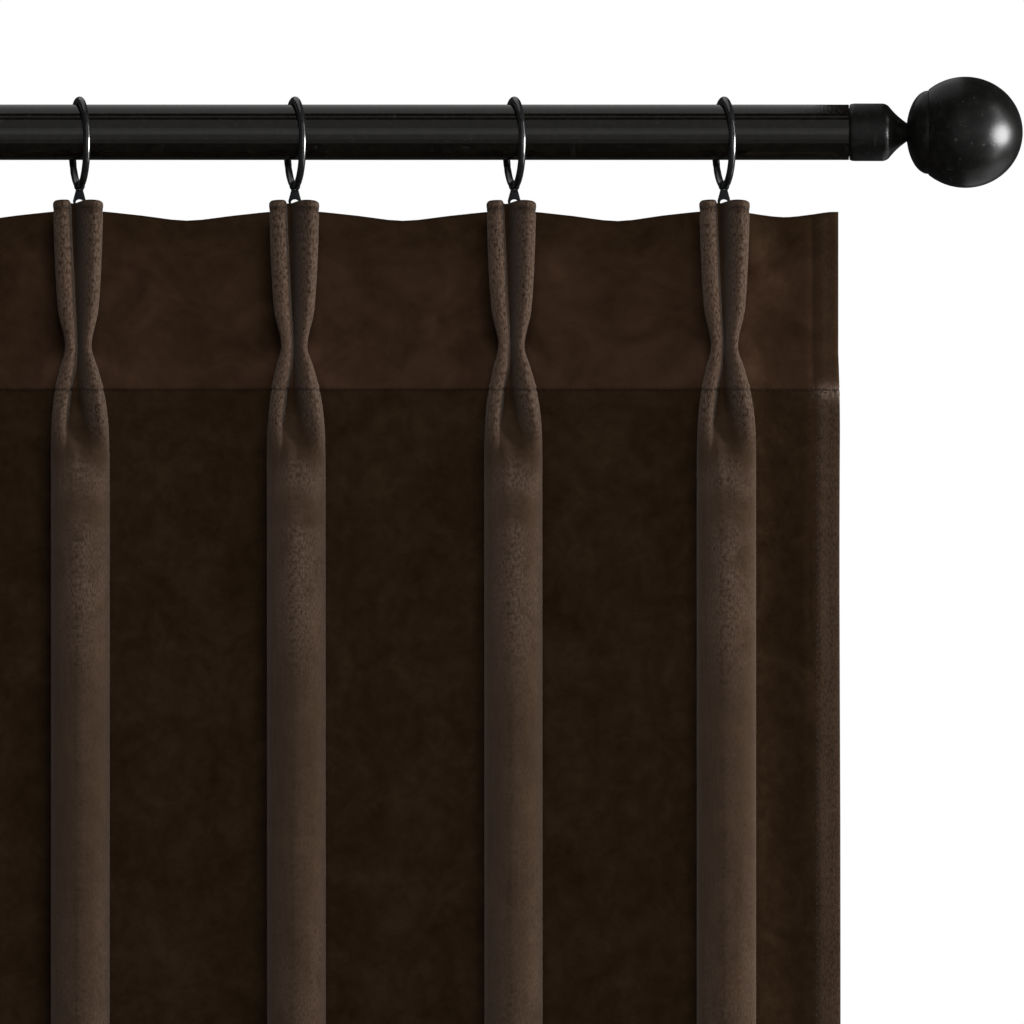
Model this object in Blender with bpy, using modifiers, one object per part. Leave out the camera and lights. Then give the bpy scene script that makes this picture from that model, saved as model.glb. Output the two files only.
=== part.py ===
"""Pinch pleat curtain hanging by ring clips from a plain rod with ball finials.

Metres, +Z up. The origin is on the rod's axis, half way along it. The rod runs along X and
the curtain's face looks towards -Y. Run with: blender --background --python part.py
"""
import math

import bmesh
import bpy
from mathutils import Vector

MM = 0.001

# Rod and finials
ROD_RADIUS = 12.7 * MM
ROD_WALL = 1.2 * MM
ROD_LENGTH = 705.2 * MM
ROD_SIDES = 32
FINIAL_SIDES = 28
SEAT_GAP = 0.3 * MM
SLIDE_GAP = 0.4 * MM
COLLAR_RADIUS = 13.2 * MM
COLLAR_LENGTH = 15.0 * MM
SHOULDER_BEND = 4.8 * MM
SHOULDER_TURN = math.radians(43.0)
SHOULDER_STEPS = 3
NECK_RADIUS = 4.45 * MM
NECK_START = 26.2 * MM
NECK_END = 26.5 * MM
SPIGOT_LENGTH = 20.0 * MM
STUD_RADIUS = 3.0 * MM
STUD_LENGTH = 9.0 * MM
BALL_RADIUS = 25.5 * MM
BALL_HALF_LENGTH = 26.3 * MM
BALL_CENTRE = 53.3 * MM
BALL_JOINT_OFFSET = 16.9 * MM
CAP_STEP = 0.4 * MM
BALL_ARC_STEPS = 7
CAP_ARC_STEPS = 4

# Rings and clips
WIRE_RADIUS = 1.65 * MM
RING_INNER_RADIUS = 18.0 * MM
RING_SIDES = 24
WIRE_SIDES = 8
RING_TURN = math.radians(11.0)
CLIP_THICKNESS = 0.8 * MM
EYE_RADIUS = 2.17 * MM
EYE_RIM = 0.5 * MM
EYE_SIDES = 12
RIM_ARC = (-48.0, 228.0)
RIM_STEPS = 10
CLIP_NECK_HALF = 1.95 * MM
CLIP_NECK_DROP = 3.0 * MM
SHOULDER_DROP = 6.9 * MM
SHOULDER_HALF = 3.0 * MM
TONGUE_HALF = 2.6 * MM
TONGUE_TOP = 9.5 * MM
TONGUE_END = 21.0 * MM
TONGUE_CHAMFER = 0.8 * MM
ARCH_HALF = 1.7 * MM
ARCH_DROP = 6.2 * MM
ARCH_RISE = 1.2 * MM
ARCH_END = 16.0 * MM
ARCH_STEPS = 6

# Cloth
CLOTH_THICKNESS = 1.2 * MM
PITCH = 99.0 * MM
TAIL = 52.3 * MM
TOP_DROP = 31.1 * MM
SEAM_DROP = 117.5 * MM
DROP_LENGTH = 2134.0 * MM
SIDE_HEM = 11.0 * MM

# One row for each level of the fold, in mm. drop: below the rod's axis. split: 1 where the
# pleat is two fingers, 0 where it is one round column. width: half the pleat's width. gap:
# half the space between the fingers. lean: how far right of the pleat's middle the valley
# between them lies. drift: how far right the whole pleat has moved. front, valley, back and
# bow: how far back from the rod's axis lie the finger tips, the valley, the roots and the
# panel's middle. neck: half the width at the roots. curl: how far the free side edges turn
# back.
FOLD_COLUMNS = ("drop", "split", "width", "gap", "lean", "drift",
                "front", "valley", "neck", "back", "bow", "curl")
FOLD_ROWS = (
    (31.1, 1.00, 10.8, 1.8, -2.4, 0.0, -14.5, -1.35, 1.6, 6.5, 14.5, 0.0),
    (55.0, 1.00, 10.1, 1.6, -1.6, 0.0, -14.7, -1.40, 1.6, 6.5, 15.0, 0.3),
    (80.0, 1.00, 8.6, 1.3, -0.7, 0.0, -14.0, -1.60, 1.6, 6.5, 15.5, 0.6),
    (98.0, 1.00, 5.4, 1.1, 0.0, 0.0, -11.5, -2.60, 1.5, 6.3, 16.0, 0.8),
    (108.0, 1.00, 8.0, 1.3, -0.7, 0.3, -13.0, -3.60, 1.6, 6.5, 16.3, 1.0),
    (119.0, 0.95, 10.6, 2.7, -1.9, 0.6, -15.2, -4.60, 2.0, 7.1, 16.7, 1.2),
    (129.0, 0.86, 12.0, 4.6, -1.6, 0.8, -16.4, -5.80, 2.8, 8.6, 17.2, 1.6),
    (138.0, 0.62, 12.6, 6.2, -0.8, 0.9, -17.1, -7.60, 3.8, 10.6, 17.7, 2.0),
    (152.0, 0.18, 12.8, 6.6, -0.2, 0.9, -17.8, -10.0, 5.2, 12.8, 18.5, 2.5),
    (200.0, 0.00, 12.8, 6.0, 0.0, 0.9, -18.5, -11.0, 6.2, 15.0, 20.0, 3.2),
    (560.0, 0.00, 12.8, 6.0, 0.0, 0.9, -18.7, -11.0, 6.6, 16.0, 20.5, 3.8),
    (1100.0, 0.00, 12.9, 6.0, 0.0, 0.9, -18.5, -11.0, 6.9, 16.3, 20.7, 3.8),
    (1640.0, 0.00, 13.2, 6.0, 0.0, 0.9, -18.1, -11.0, 7.3, 16.5, 20.9, 3.6),
    (2165.1, 0.00, 13.5, 6.0, 0.0, 0.9, -17.5, -11.0, 7.8, 16.7, 21.1, 3.6),
)

# One row for each pleat, left to right, in mm or as a share of the table's value. shift: off
# the even spacing at the heading. sway: sideways drift at the hem. plump and deep: width and
# depth. lift: height off the others. sag: how much the panel on the pleat's right bows back.
# ring: how far right of the pleat's middle its ring hangs.
PLEAT_COLUMNS = ("shift", "sway", "plump", "deep", "lift", "sag", "ring")
PLEAT_ROWS = (
    (0.6, -2.4, 1.02, 0.98, 0.2, 0.92, 0.5),
    (-0.4, 2.2, 0.98, 1.02, -0.2, 1.10, -0.4),
    (0.3, -1.4, 1.01, 0.99, 0.1, 0.96, 0.8),
    (0.0, 1.0, 1.00, 1.00, 0.1, 1.04, 0.4),
    (-0.2, 1.8, 1.00, 1.00, 0.0, 0.92, 0.2),
    (0.1, 0.6, 0.99, 1.02, -0.1, 1.06, 1.3),
    (-1.4, 1.6, 1.01, 0.98, 0.1, 1.00, -0.2),
)
SWAY_WAVE = 1.2

# How far below the finger tops the cloth's top edge lies, in mm: from the valley between
# two fingers out to the middle of a panel, and from the last root out to a side edge.
PLEAT_EDGE_DIP = (1.6, 1.3, 0.7, 0.0, 0.0, 0.4, 1.4, 2.6, 4.2, 4.8)
PANEL_EDGE_DIP = (4.9, 6.9, 9.2)
TAIL_EDGE_DIP = (5.4, 7.7, 6.6, 5.4, 5.3)

# The left finger's tip as (out, back) points, in radii from its middle and from its front.
FINGER_TIP = ((-0.75, 0.34), (0.05, 0.0), (0.80, 0.42), (1.0, 1.25))
# The right finger's long inner slope and its tip as (out, forward) points: shares of the way
# from the valley's floor to the finger's side, and from the valley to the front.
FINGER_SLOPE = ((0.08, 0.10), (0.23, 0.36), (0.455, 0.72), (0.727, 0.985), (0.91, 0.87),
                (1.0, 0.55))
SLOPE_FLOOR = 0.3
# A round column's quarter turns in degrees, and its depth as a share of the fold's.
COLUMN_TURNS = (0, 13, 27, 41, 55, 71, 90)
COLUMN_DEPTH = 0.45
# Where a pleat's side draws in to its root, as shares of the way in and the way back.
WAIST_IN = 0.42
FINGER_WAIST_BACK = 0.62
COLUMN_WAIST_BACK = 0.55
# The valley's floor: how far out it reaches and how far forward it rises, in gaps.
FLOOR_REACH = 0.85
FLOOR_RISE = 0.55
# The root: how far its turn starts in front of the roots' depth and ends out and behind.
ROOT_LEAD = 1.7
ROOT_TURN = (1.5, 0.5)
# A panel between two pleats: its first point's distance from the root in mm, its second's
# share of the way to the panel's middle, and each one's share of the bow.
PANEL_START = 5.5
PANEL_SECOND = 0.55
PANEL_BOWED = (0.45, 0.88)
# The cloth out to a free edge: the same for its first two points, its share of the bow at the
# hem, how far inside the hem's line it bends in mm, how much of the hem lies outside its
# middle point, and that point's share of the curl.
TAIL_START = 7.0
TAIL_SECOND = 0.5
TAIL_BOWED = (0.35, 0.45)
HEM_BOWED = 0.2
HEM_LEAD = 2.0
HEM_OUTSIDE = 0.4
HEM_CURLED = 0.35


def table(columns, rows):
    """Give each row of a table as a dictionary of its named columns."""
    return [dict(zip(columns, row)) for row in rows]


FOLDS = table(FOLD_COLUMNS, FOLD_ROWS)
PLEATS = table(PLEAT_COLUMNS, PLEAT_ROWS)


def mix(start, end, share):
    """Blend two numbers."""
    return start + (end - start) * share


def finger_stations(fold, pleat, side):
    """Half a two-finger section, outwards from the valley to the waist, in mm."""
    offset = side * fold["lean"]
    front = fold["front"] * pleat["deep"]
    width = fold["width"] * pleat["plump"] - offset
    gap = fold["gap"]
    radius = (width - gap) / 2
    middle = (width + gap) / 2
    stations = [(0.0, fold["valley"])]
    if side > 0:
        stations += [(mix(gap * SLOPE_FLOOR, width, out), mix(fold["valley"], front, forward))
                     for out, forward in FINGER_SLOPE]
    else:
        stations += [(gap * FLOOR_REACH, fold["valley"] - gap * FLOOR_RISE),
                     (gap, mix(fold["valley"], front, 0.5))]
        stations += [(middle + radius * out, front + radius * back)
                     for out, back in FINGER_TIP]
    stations.append((mix(width, fold["neck"] - offset, WAIST_IN),
                     mix(front, fold["back"], FINGER_WAIST_BACK)))
    return [(offset + x, y) for x, y in stations]


def column_stations(fold, pleat):
    """Half a round column's section with the same stations, in mm."""
    front = fold["front"] * pleat["deep"]
    width = fold["width"] * pleat["plump"]
    reach = (fold["back"] - front) * COLUMN_DEPTH
    turns = [math.radians(angle) for angle in COLUMN_TURNS]
    stations = [(width * math.sin(turn), front + reach * (1 - math.cos(turn)))
                for turn in turns]
    stations.append((mix(width, fold["neck"], WAIST_IN),
                     mix(front + reach, fold["back"], COLUMN_WAIST_BACK)))
    return stations


def half_pleat(fold, pleat, side):
    """Half a pleat's section with its root, from its middle outwards, in mm."""
    fingers = finger_stations(fold, pleat, side)
    column = column_stations(fold, pleat)
    share = fold["split"]
    stations = [(mix(c[0], f[0], share), mix(c[1], f[1], share))
                for f, c in zip(fingers, column)]
    out, back = ROOT_TURN
    stations.append((fold["neck"], fold["back"] - ROOT_LEAD))
    stations.append((fold["neck"] + out, fold["back"] + back))
    return stations


def panel_stations(fold, reach, sag):
    """The panel from beside a root out to its middle, in mm, reach away from the pleat."""
    start = fold["neck"] + ROOT_TURN[0]
    bow = fold["bow"] * sag
    first, second = [mix(fold["back"], bow, share) for share in PANEL_BOWED]
    return [(start + PANEL_START, first), (mix(start, reach, PANEL_SECOND), second),
            (reach, bow)]


def tail_stations(fold):
    """The cloth from beside the last root out to its free side edge, in mm."""
    edge = TAIL / MM
    hem = SIDE_HEM / MM
    first, second = [mix(fold["back"], fold["bow"], share) for share in TAIL_BOWED]
    flat = mix(fold["back"], fold["bow"], HEM_BOWED)
    return [
        (fold["neck"] + TAIL_START, first),
        (mix(fold["neck"], edge, TAIL_SECOND), second),
        (edge - hem - HEM_LEAD, flat),
        (edge - hem * HEM_OUTSIDE, flat + fold["curl"] * HEM_CURLED),
        (edge, flat + fold["curl"]),
    ]


def pleat_centre(index, fold):
    """A pleat's middle at one level, in mm: even at the heading, swaying near the hem."""
    pleat = PLEATS[index]
    even = (index - (len(PLEATS) - 1) / 2) * PITCH / MM
    share = (max(0.0, fold["drop"] * MM - SEAM_DROP) / DROP_LENGTH) ** 2
    phase = index * 1.3
    wave = math.sin(share * math.pi * 1.5 + phase) - math.sin(phase)
    sway = pleat["sway"] * share + wave * SWAY_WAVE
    return even + pleat["shift"] + fold["drift"] + sway


def raise_to_edge(points, dips, fold, lift):
    """Add the heights: the top edge dips between the pleats and the seam is level."""
    fade = max(0.0, 1.0 - (fold["drop"] * MM - TOP_DROP) / (SEAM_DROP - TOP_DROP))
    return [(x, y, -fold["drop"] - (dip - lift) * fade) for (x, y), dip in zip(points, dips)]


def outward_half(index, side, fold):
    """One side of a pleat with the cloth out to the next panel's middle or a free edge."""
    pleat = PLEATS[index]
    neighbour = index + side
    if 0 <= neighbour < len(PLEATS):
        reach = abs(pleat_centre(neighbour, fold) - pleat_centre(index, fold)) / 2
        outer = panel_stations(fold, reach, PLEATS[min(index, neighbour)]["sag"])
        dips = PLEAT_EDGE_DIP + PANEL_EDGE_DIP
    else:
        outer = tail_stations(fold)
        dips = PLEAT_EDGE_DIP + TAIL_EDGE_DIP
    points = raise_to_edge(half_pleat(fold, pleat, side) + outer, dips, fold, pleat["lift"])
    centre = pleat_centre(index, fold)
    return [(centre + side * x, y, z) for x, y, z in points]


def section(fold):
    """The whole curtain's section at one level, from its left edge to its right, in mm."""
    points = []
    for index in range(len(PLEATS)):
        left = outward_half(index, -1, fold)
        right = outward_half(index, 1, fold)
        if index > 0:
            left.pop()
        points += list(reversed(left)) + right[1:]
    return points


def new_material(name, colour, roughness, metallic=0.0):
    """Make a plain Principled material."""
    material = bpy.data.materials.new(name)
    material.use_nodes = True
    shader = material.node_tree.nodes["Principled BSDF"]
    shader.inputs["Base Color"].default_value = (*colour, 1.0)
    shader.inputs["Roughness"].default_value = roughness
    shader.inputs["Metallic"].default_value = metallic
    return material


def place(name, data, collection, material, location=(0, 0, 0), rotation=(0, 0, 0)):
    """Put mesh or curve data into the collection as a named object."""
    thing = bpy.data.objects.new(name, data)
    thing.location = location
    thing.rotation_euler = rotation
    data.materials.append(material)
    collection.objects.link(thing)
    return thing


def turned(name, profile, sides, collection, material, location, rotation, closed=False):
    """Turn a profile of (radius, height) points about its own Z axis."""
    mesh = bpy.data.meshes.new(name)
    points = [(radius, 0, height) for radius, height in profile]
    edges = [(i, i + 1) for i in range(len(points) - 1)]
    if closed:
        edges.append((len(points) - 1, 0))
    mesh.from_pydata(points, edges, [])
    thing = place(name, mesh, collection, material, location, rotation)
    screw = thing.modifiers.new("Turn", "SCREW")
    screw.steps = sides
    screw.render_steps = sides
    screw.use_merge_vertices = True
    screw.merge_threshold = 0.00001
    screw.use_smooth_shade = True
    return thing


def make_rod(collection, material):
    """The rod: a tube along X."""
    inner = ROD_RADIUS - ROD_WALL
    half = ROD_LENGTH / 2
    profile = [(ROD_RADIUS, half), (ROD_RADIUS, -half), (inner, -half), (inner, half)]
    turned("rod", profile, ROD_SIDES, collection, material, (0, 0, 0),
           (0, math.pi / 2, 0), closed=True)


def make_collar(name, side, collection, material):
    """A collar that plugs into the rod's end and carries the ball on a stud."""
    spigot = ROD_RADIUS - ROD_WALL - SLIDE_GAP
    profile = [
        (0, NECK_END + STUD_LENGTH),
        (STUD_RADIUS, NECK_END + STUD_LENGTH),
        (STUD_RADIUS, NECK_END),
        (NECK_RADIUS, NECK_END),
        (NECK_RADIUS, NECK_START),
    ]
    for step in range(SHOULDER_STEPS + 1):
        angle = SHOULDER_TURN * (1 - step / SHOULDER_STEPS)
        profile.append((COLLAR_RADIUS - SHOULDER_BEND * (1 - math.cos(angle)),
                        COLLAR_LENGTH + SHOULDER_BEND * math.sin(angle)))
    profile += [
        (COLLAR_RADIUS, SEAT_GAP),
        (spigot, SEAT_GAP),
        (spigot, -SPIGOT_LENGTH),
        (0, -SPIGOT_LENGTH),
    ]
    turned(name, profile, FINIAL_SIDES, collection, material,
           (side * ROD_LENGTH / 2, 0, 0), (0, side * math.pi / 2, 0))


def make_ball(name, side, collection, material):
    """A slightly long ball whose inner end is a flatter cap with a socket for the stud."""
    joint = math.acos(BALL_JOINT_OFFSET / BALL_HALF_LENGTH)
    cap_radius = BALL_RADIUS * math.sin(joint) - CAP_STEP
    mouth = NECK_RADIUS + SEAT_GAP
    seat = NECK_END + SEAT_GAP - BALL_CENTRE
    start = math.asin(mouth / cap_radius)
    cap_length = (-BALL_JOINT_OFFSET - seat) / math.cos(start)
    profile = [(0, BALL_HALF_LENGTH)]
    for step in range(1, BALL_ARC_STEPS + 1):
        angle = mix(0, math.pi - joint, step / BALL_ARC_STEPS)
        profile.append((BALL_RADIUS * math.sin(angle), BALL_HALF_LENGTH * math.cos(angle)))
    for step in range(CAP_ARC_STEPS + 1):
        angle = mix(math.pi / 2, start, step / CAP_ARC_STEPS)
        profile.append((cap_radius * math.sin(angle),
                        -BALL_JOINT_OFFSET - cap_length * math.cos(angle)))
    bore = STUD_RADIUS + SEAT_GAP
    bore_end = seat + STUD_LENGTH
    profile += [(bore, seat), (bore, bore_end), (0, bore_end)]
    turned(name, profile, FINIAL_SIDES, collection, material,
           (side * (ROD_LENGTH / 2 + BALL_CENTRE), 0, 0), (0, side * math.pi / 2, 0))


def make_ring(name, x, collection, material):
    """A wire ring round the rod, resting on its top and turned a little."""
    mean_radius = RING_INNER_RADIUS + WIRE_RADIUS
    bpy.ops.mesh.primitive_torus_add(
        major_radius=mean_radius, minor_radius=WIRE_RADIUS,
        major_segments=RING_SIDES, minor_segments=WIRE_SIDES,
        location=(x, 0, ring_height()), rotation=(0, math.pi / 2, RING_TURN))
    ring = bpy.context.active_object
    ring.name = name
    ring.data.materials.append(material)
    ring.data.shade_smooth()
    for owner in list(ring.users_collection):
        owner.objects.unlink(ring)
    collection.objects.link(ring)


def ring_height():
    """Height of a ring's middle when it rests on the rod."""
    return ROD_RADIUS + SLIDE_GAP - RING_INNER_RADIUS


def make_clip(name, x, collection, material):
    """A flat clip: an eye round the ring's wire, a flared plate with an arch, a tongue."""
    curve = bpy.data.curves.new(name, "CURVE")
    curve.dimensions = "2D"
    curve.fill_mode = "BOTH"
    curve.extrude = CLIP_THICKNESS / 2
    rim = EYE_RADIUS + EYE_RIM
    outline = []
    for step in range(RIM_STEPS + 1):
        angle = math.radians(mix(*RIM_ARC, step / RIM_STEPS))
        outline.append((rim * math.cos(angle), rim * math.sin(angle)))
    side = [
        (-CLIP_NECK_HALF, -CLIP_NECK_DROP),
        (-SHOULDER_HALF, -SHOULDER_DROP),
        (-TONGUE_HALF, -TONGUE_TOP),
        (-TONGUE_HALF, -TONGUE_END + TONGUE_CHAMFER),
        (-TONGUE_HALF + TONGUE_CHAMFER, -TONGUE_END),
    ]
    outline += side + [(-sx, sy) for sx, sy in reversed(side)]
    eye = []
    for step in range(EYE_SIDES):
        angle = math.tau * step / EYE_SIDES
        eye.append((EYE_RADIUS * math.cos(angle), EYE_RADIUS * math.sin(angle)))
    arch = [(-ARCH_HALF, -ARCH_END), (ARCH_HALF, -ARCH_END)]
    for step in range(ARCH_STEPS + 1):
        angle = math.pi * step / ARCH_STEPS
        arch.append((ARCH_HALF * math.cos(angle),
                     ARCH_RISE * (math.sin(angle) - 1) - ARCH_DROP))
    for points in (outline, eye, arch):
        spline = curve.splines.new("POLY")
        spline.points.add(len(points) - 1)
        for point, (px, py) in zip(spline.points, points):
            point.co = (px, py, 0, 1)
        spline.use_cyclic_u = True
    height = ring_height() - RING_INNER_RADIUS - WIRE_RADIUS
    place(name, curve, collection, material, (x, 0, height), (math.pi / 2, 0, 0))


def make_cloth(collection, material):
    """The curtain: one sheet lofted through its sections, then given its thickness."""
    shape = bmesh.new()
    rows = []
    for fold in FOLDS:
        rows.append([shape.verts.new(Vector(point) * MM) for point in section(fold)])
    for upper, lower in zip(rows, rows[1:]):
        for column in range(len(upper) - 1):
            shape.faces.new((upper[column], lower[column],
                             lower[column + 1], upper[column + 1]))
    mesh = bpy.data.meshes.new("curtain")
    shape.to_mesh(mesh)
    shape.free()
    cloth = place("curtain", mesh, collection, material)
    cloth.data.shade_smooth()
    wall = cloth.modifiers.new("Thickness", "SOLIDIFY")
    wall.thickness = CLOTH_THICKNESS
    wall.offset = 0.0
    return cloth


def main():
    """Clear the scene and build every piece."""
    for thing in list(bpy.data.objects):
        bpy.data.objects.remove(thing)
    collection = bpy.data.collections.new("pinch_pleat_curtain")
    bpy.context.scene.collection.children.link(collection)
    velvet = new_material("velvet", (0.030, 0.017, 0.010), 0.85)
    rod_paint = new_material("rod_paint", (0.020, 0.020, 0.022), 0.35, 0.2)
    gloss_paint = new_material("gloss_paint", (0.006, 0.006, 0.007), 0.15, 0.2)
    ring_paint = new_material("ring_paint", (0.010, 0.010, 0.011), 0.30, 0.4)
    clip_paint = new_material("clip_paint", (0.020, 0.022, 0.024), 0.50, 0.4)
    make_rod(collection, rod_paint)
    for side, word in ((-1, "left"), (1, "right")):
        make_collar(f"collar_{word}", side, collection, gloss_paint)
        make_ball(f"ball_{word}", side, collection, gloss_paint)
    for index in range(len(PLEATS)):
        x = (pleat_centre(index, FOLDS[0]) + PLEATS[index]["ring"]) * MM
        make_ring(f"ring_{index + 1}", x, collection, ring_paint)
        make_clip(f"clip_{index + 1}", x, collection, clip_paint)
    make_cloth(collection, velvet)


main()
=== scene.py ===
"""Looks of the pinch pleat curtain: velvet, thread, painted metal, studio and camera.

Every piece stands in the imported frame: metres, +Z up, the origin on the rod's axis half
way along it, and the curtain's face towards -Y.
"""
import logging
import math
from dataclasses import astuple, dataclass, field
from enum import Enum
from typing import Any, Optional, Sequence, Union

import bmesh
import bpy
import numpy as np
from mathutils import Matrix, Vector


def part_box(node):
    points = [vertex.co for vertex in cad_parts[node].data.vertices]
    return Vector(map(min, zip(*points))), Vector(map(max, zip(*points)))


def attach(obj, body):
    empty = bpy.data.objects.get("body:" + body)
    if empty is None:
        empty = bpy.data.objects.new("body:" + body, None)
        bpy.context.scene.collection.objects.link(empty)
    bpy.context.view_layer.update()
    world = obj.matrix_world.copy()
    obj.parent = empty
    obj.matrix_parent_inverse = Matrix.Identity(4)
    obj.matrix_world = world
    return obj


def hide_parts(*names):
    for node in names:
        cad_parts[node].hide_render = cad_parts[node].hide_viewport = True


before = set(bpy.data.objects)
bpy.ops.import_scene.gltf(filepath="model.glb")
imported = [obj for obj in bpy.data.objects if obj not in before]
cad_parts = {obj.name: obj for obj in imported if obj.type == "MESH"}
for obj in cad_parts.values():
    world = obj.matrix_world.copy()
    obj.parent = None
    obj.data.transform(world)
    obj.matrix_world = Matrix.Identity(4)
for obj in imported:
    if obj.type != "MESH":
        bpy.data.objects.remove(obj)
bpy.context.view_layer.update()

LOG = logging.getLogger("curtain")
MM = 0.001
BODY = "root"
WHITE = (1.0, 1.0, 1.0, 1.0)
Colour = tuple[float, float, float]
Pair = tuple[float, float]


class Side(Enum):
    """A side of the curtain, as the sign of its X."""

    LEFT = -1
    RIGHT = 1


class Slot(Enum):
    """The record's material slots."""

    VELVET = "velvet"
    ROD = "rod_paint"
    GLOSS = "gloss_paint"
    RING = "ring_paint"
    CLIP = "clip_paint"


# ---- Node trees as expressions ----


class Wire:
    """A node's output that sums and products can be written with."""

    def __init__(self, tree: "Tree", socket: bpy.types.NodeSocket) -> None:
        """Hold an output of a tree's node."""
        self.tree = tree
        self.socket = socket

    def maths(self, operation: str, other: "Term") -> "Wire":
        """Add a Math node and give its output."""
        return self.tree.node("ShaderNodeMath", {"operation": operation}, {0: self, 1: other})

    def __add__(self, other: "Term") -> "Wire":
        """Add."""
        return self.maths("ADD", other)

    def __mul__(self, other: "Term") -> "Wire":
        """Multiply."""
        return self.maths("MULTIPLY", other)

    __radd__ = __add__
    __rmul__ = __mul__

    def beside(self, output: str) -> "Wire":
        """Another output of the same node."""
        return Wire(self.tree, self.socket.node.outputs[output])


Term = Union[Wire, float, Sequence[float]]


class Tree:
    """A node tree that is written as expressions."""

    def __init__(self, group: bpy.types.NodeTree) -> None:
        """Hold the tree that the nodes go into."""
        self.group = group

    def node(self, kind: str, settings: Optional[dict[str, Any]] = None,
             inputs: Optional[dict[Any, Term]] = None, output: Any = 0) -> Wire:
        """Add any node.

        Args:
            kind: the node's type.
            settings: its properties, set first; stops are a ramp's places and colours.
            inputs: values or links by socket name or number.
            output: the output wanted.

        Returns:
            The output.
        """
        made = self.group.nodes.new(kind)
        for name, value in (settings or {}).items():
            if name == "stops":
                self.set_stops(made.color_ramp, value)
            else:
                setattr(made, name, value)
        for key, value in (inputs or {}).items():
            self.feed(made.inputs[key], value)
        return Wire(self, made.outputs[output])

    @staticmethod
    def set_stops(ramp: bpy.types.ColorRamp, stops: Sequence[tuple[float, Colour]]) -> None:
        """Give a ramp its stops.

        Args:
            ramp: the ramp.
            stops: each stop's place and colour.
        """
        while len(ramp.elements) < len(stops):
            ramp.elements.new(1.0)
        for element, (place, colour) in zip(ramp.elements, stops):
            element.position = place
            element.color = (*colour, 1.0)

    def feed(self, socket: bpy.types.NodeSocket, value: Term) -> None:
        """Fill a socket.

        Args:
            socket: the socket.
            value: what it is linked to, or its own value.
        """
        if isinstance(value, Wire):
            self.group.links.new(value.socket, socket)
        else:
            socket.default_value = value


@dataclass(frozen=True)
class Grain:
    """A layer of noise: its features a metre, how fine it is, and its stretch."""

    scale: float
    detail: float
    rough: float
    warp: float = 0.0
    stretch: tuple[float, float, float] = (1.0, 1.0, 1.0)


class Paint(Tree):
    """One material's node tree."""

    def __init__(self, name: str, source: str = "Object") -> None:
        """Start a material with a Principled shader.

        Args:
            name: the material's name.
            source: the coordinates that its patterns follow, UV or Object.
        """
        self.material = bpy.data.materials.new(name)
        self.material.use_nodes = True
        super().__init__(self.material.node_tree)
        self.shader = self.group.nodes["Principled BSDF"]
        self.source = source

    def surface(self, **values: Term) -> bpy.types.Material:
        """Fill the shader's sockets, with underscores for the spaces in their names.

        Args:
            values: a number or colour that is the same all over, or a link.

        Returns:
            The finished material.
        """
        for name, value in values.items():
            self.feed(self.shader.inputs[name.replace("_", " ")], value)
        return self.material

    def noise(self, grain: Grain) -> Wire:
        """Noise from 0 to 1.

        Args:
            grain: the layer.

        Returns:
            The noise at each place on the piece.
        """
        place = self.node("ShaderNodeTexCoord", output=self.source)
        place = self.node("ShaderNodeMapping", inputs={"Vector": place, "Scale": grain.stretch})
        return self.node("ShaderNodeTexNoise", inputs={
            "Vector": place, "Scale": grain.scale, "Detail": grain.detail,
            "Roughness": grain.rough, "Distortion": grain.warp})

    def ramp(self, value: Term, low: float, high: float, start: float = 0.0,
             end: float = 1.0) -> Wire:
        """Run smoothly from start, where value is low, to end, where it is high."""
        return self.node("ShaderNodeMapRange", {"interpolation_type": "SMOOTHSTEP"}, {
            "Value": value, "From Min": low, "From Max": high, "To Min": start, "To Max": end})

    def tones(self, value: Wire, places: Sequence[float], *colours: Colour) -> Wire:
        """Run through colours, each at its place along a value."""
        return self.node("ShaderNodeValToRGB", {"stops": list(zip(places, colours))},
                         {"Fac": value})

    def mask(self, name: str) -> Wire:
        """A float attribute of the mesh."""
        return self.node("ShaderNodeAttribute", {"attribute_name": name}, output="Fac")

    def blend(self, share: Term, *pair: Union[Wire, Colour]) -> Wire:
        """Mix two colours."""
        first, second = [c if isinstance(c, Wire) else (*c, 1.0) for c in pair]
        return self.node("ShaderNodeMix", {"data_type": "RGBA"},
                         {0: share, 6: first, 7: second}, output=2)

    def bump(self, height: Term, distance: float, strength: float = 1.0) -> Wire:
        """Turn a height from 0 to 1 into a normal, distance metres high."""
        return self.node("ShaderNodeBump", inputs={
            "Height": height, "Distance": distance, "Strength": strength})


# ---- Finishes ----


def scaled(colour: Colour, factor: float, lift: float = 0.0) -> Colour:
    """A colour made lighter or darker."""
    return tuple(c * factor + lift for c in colour)


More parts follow.
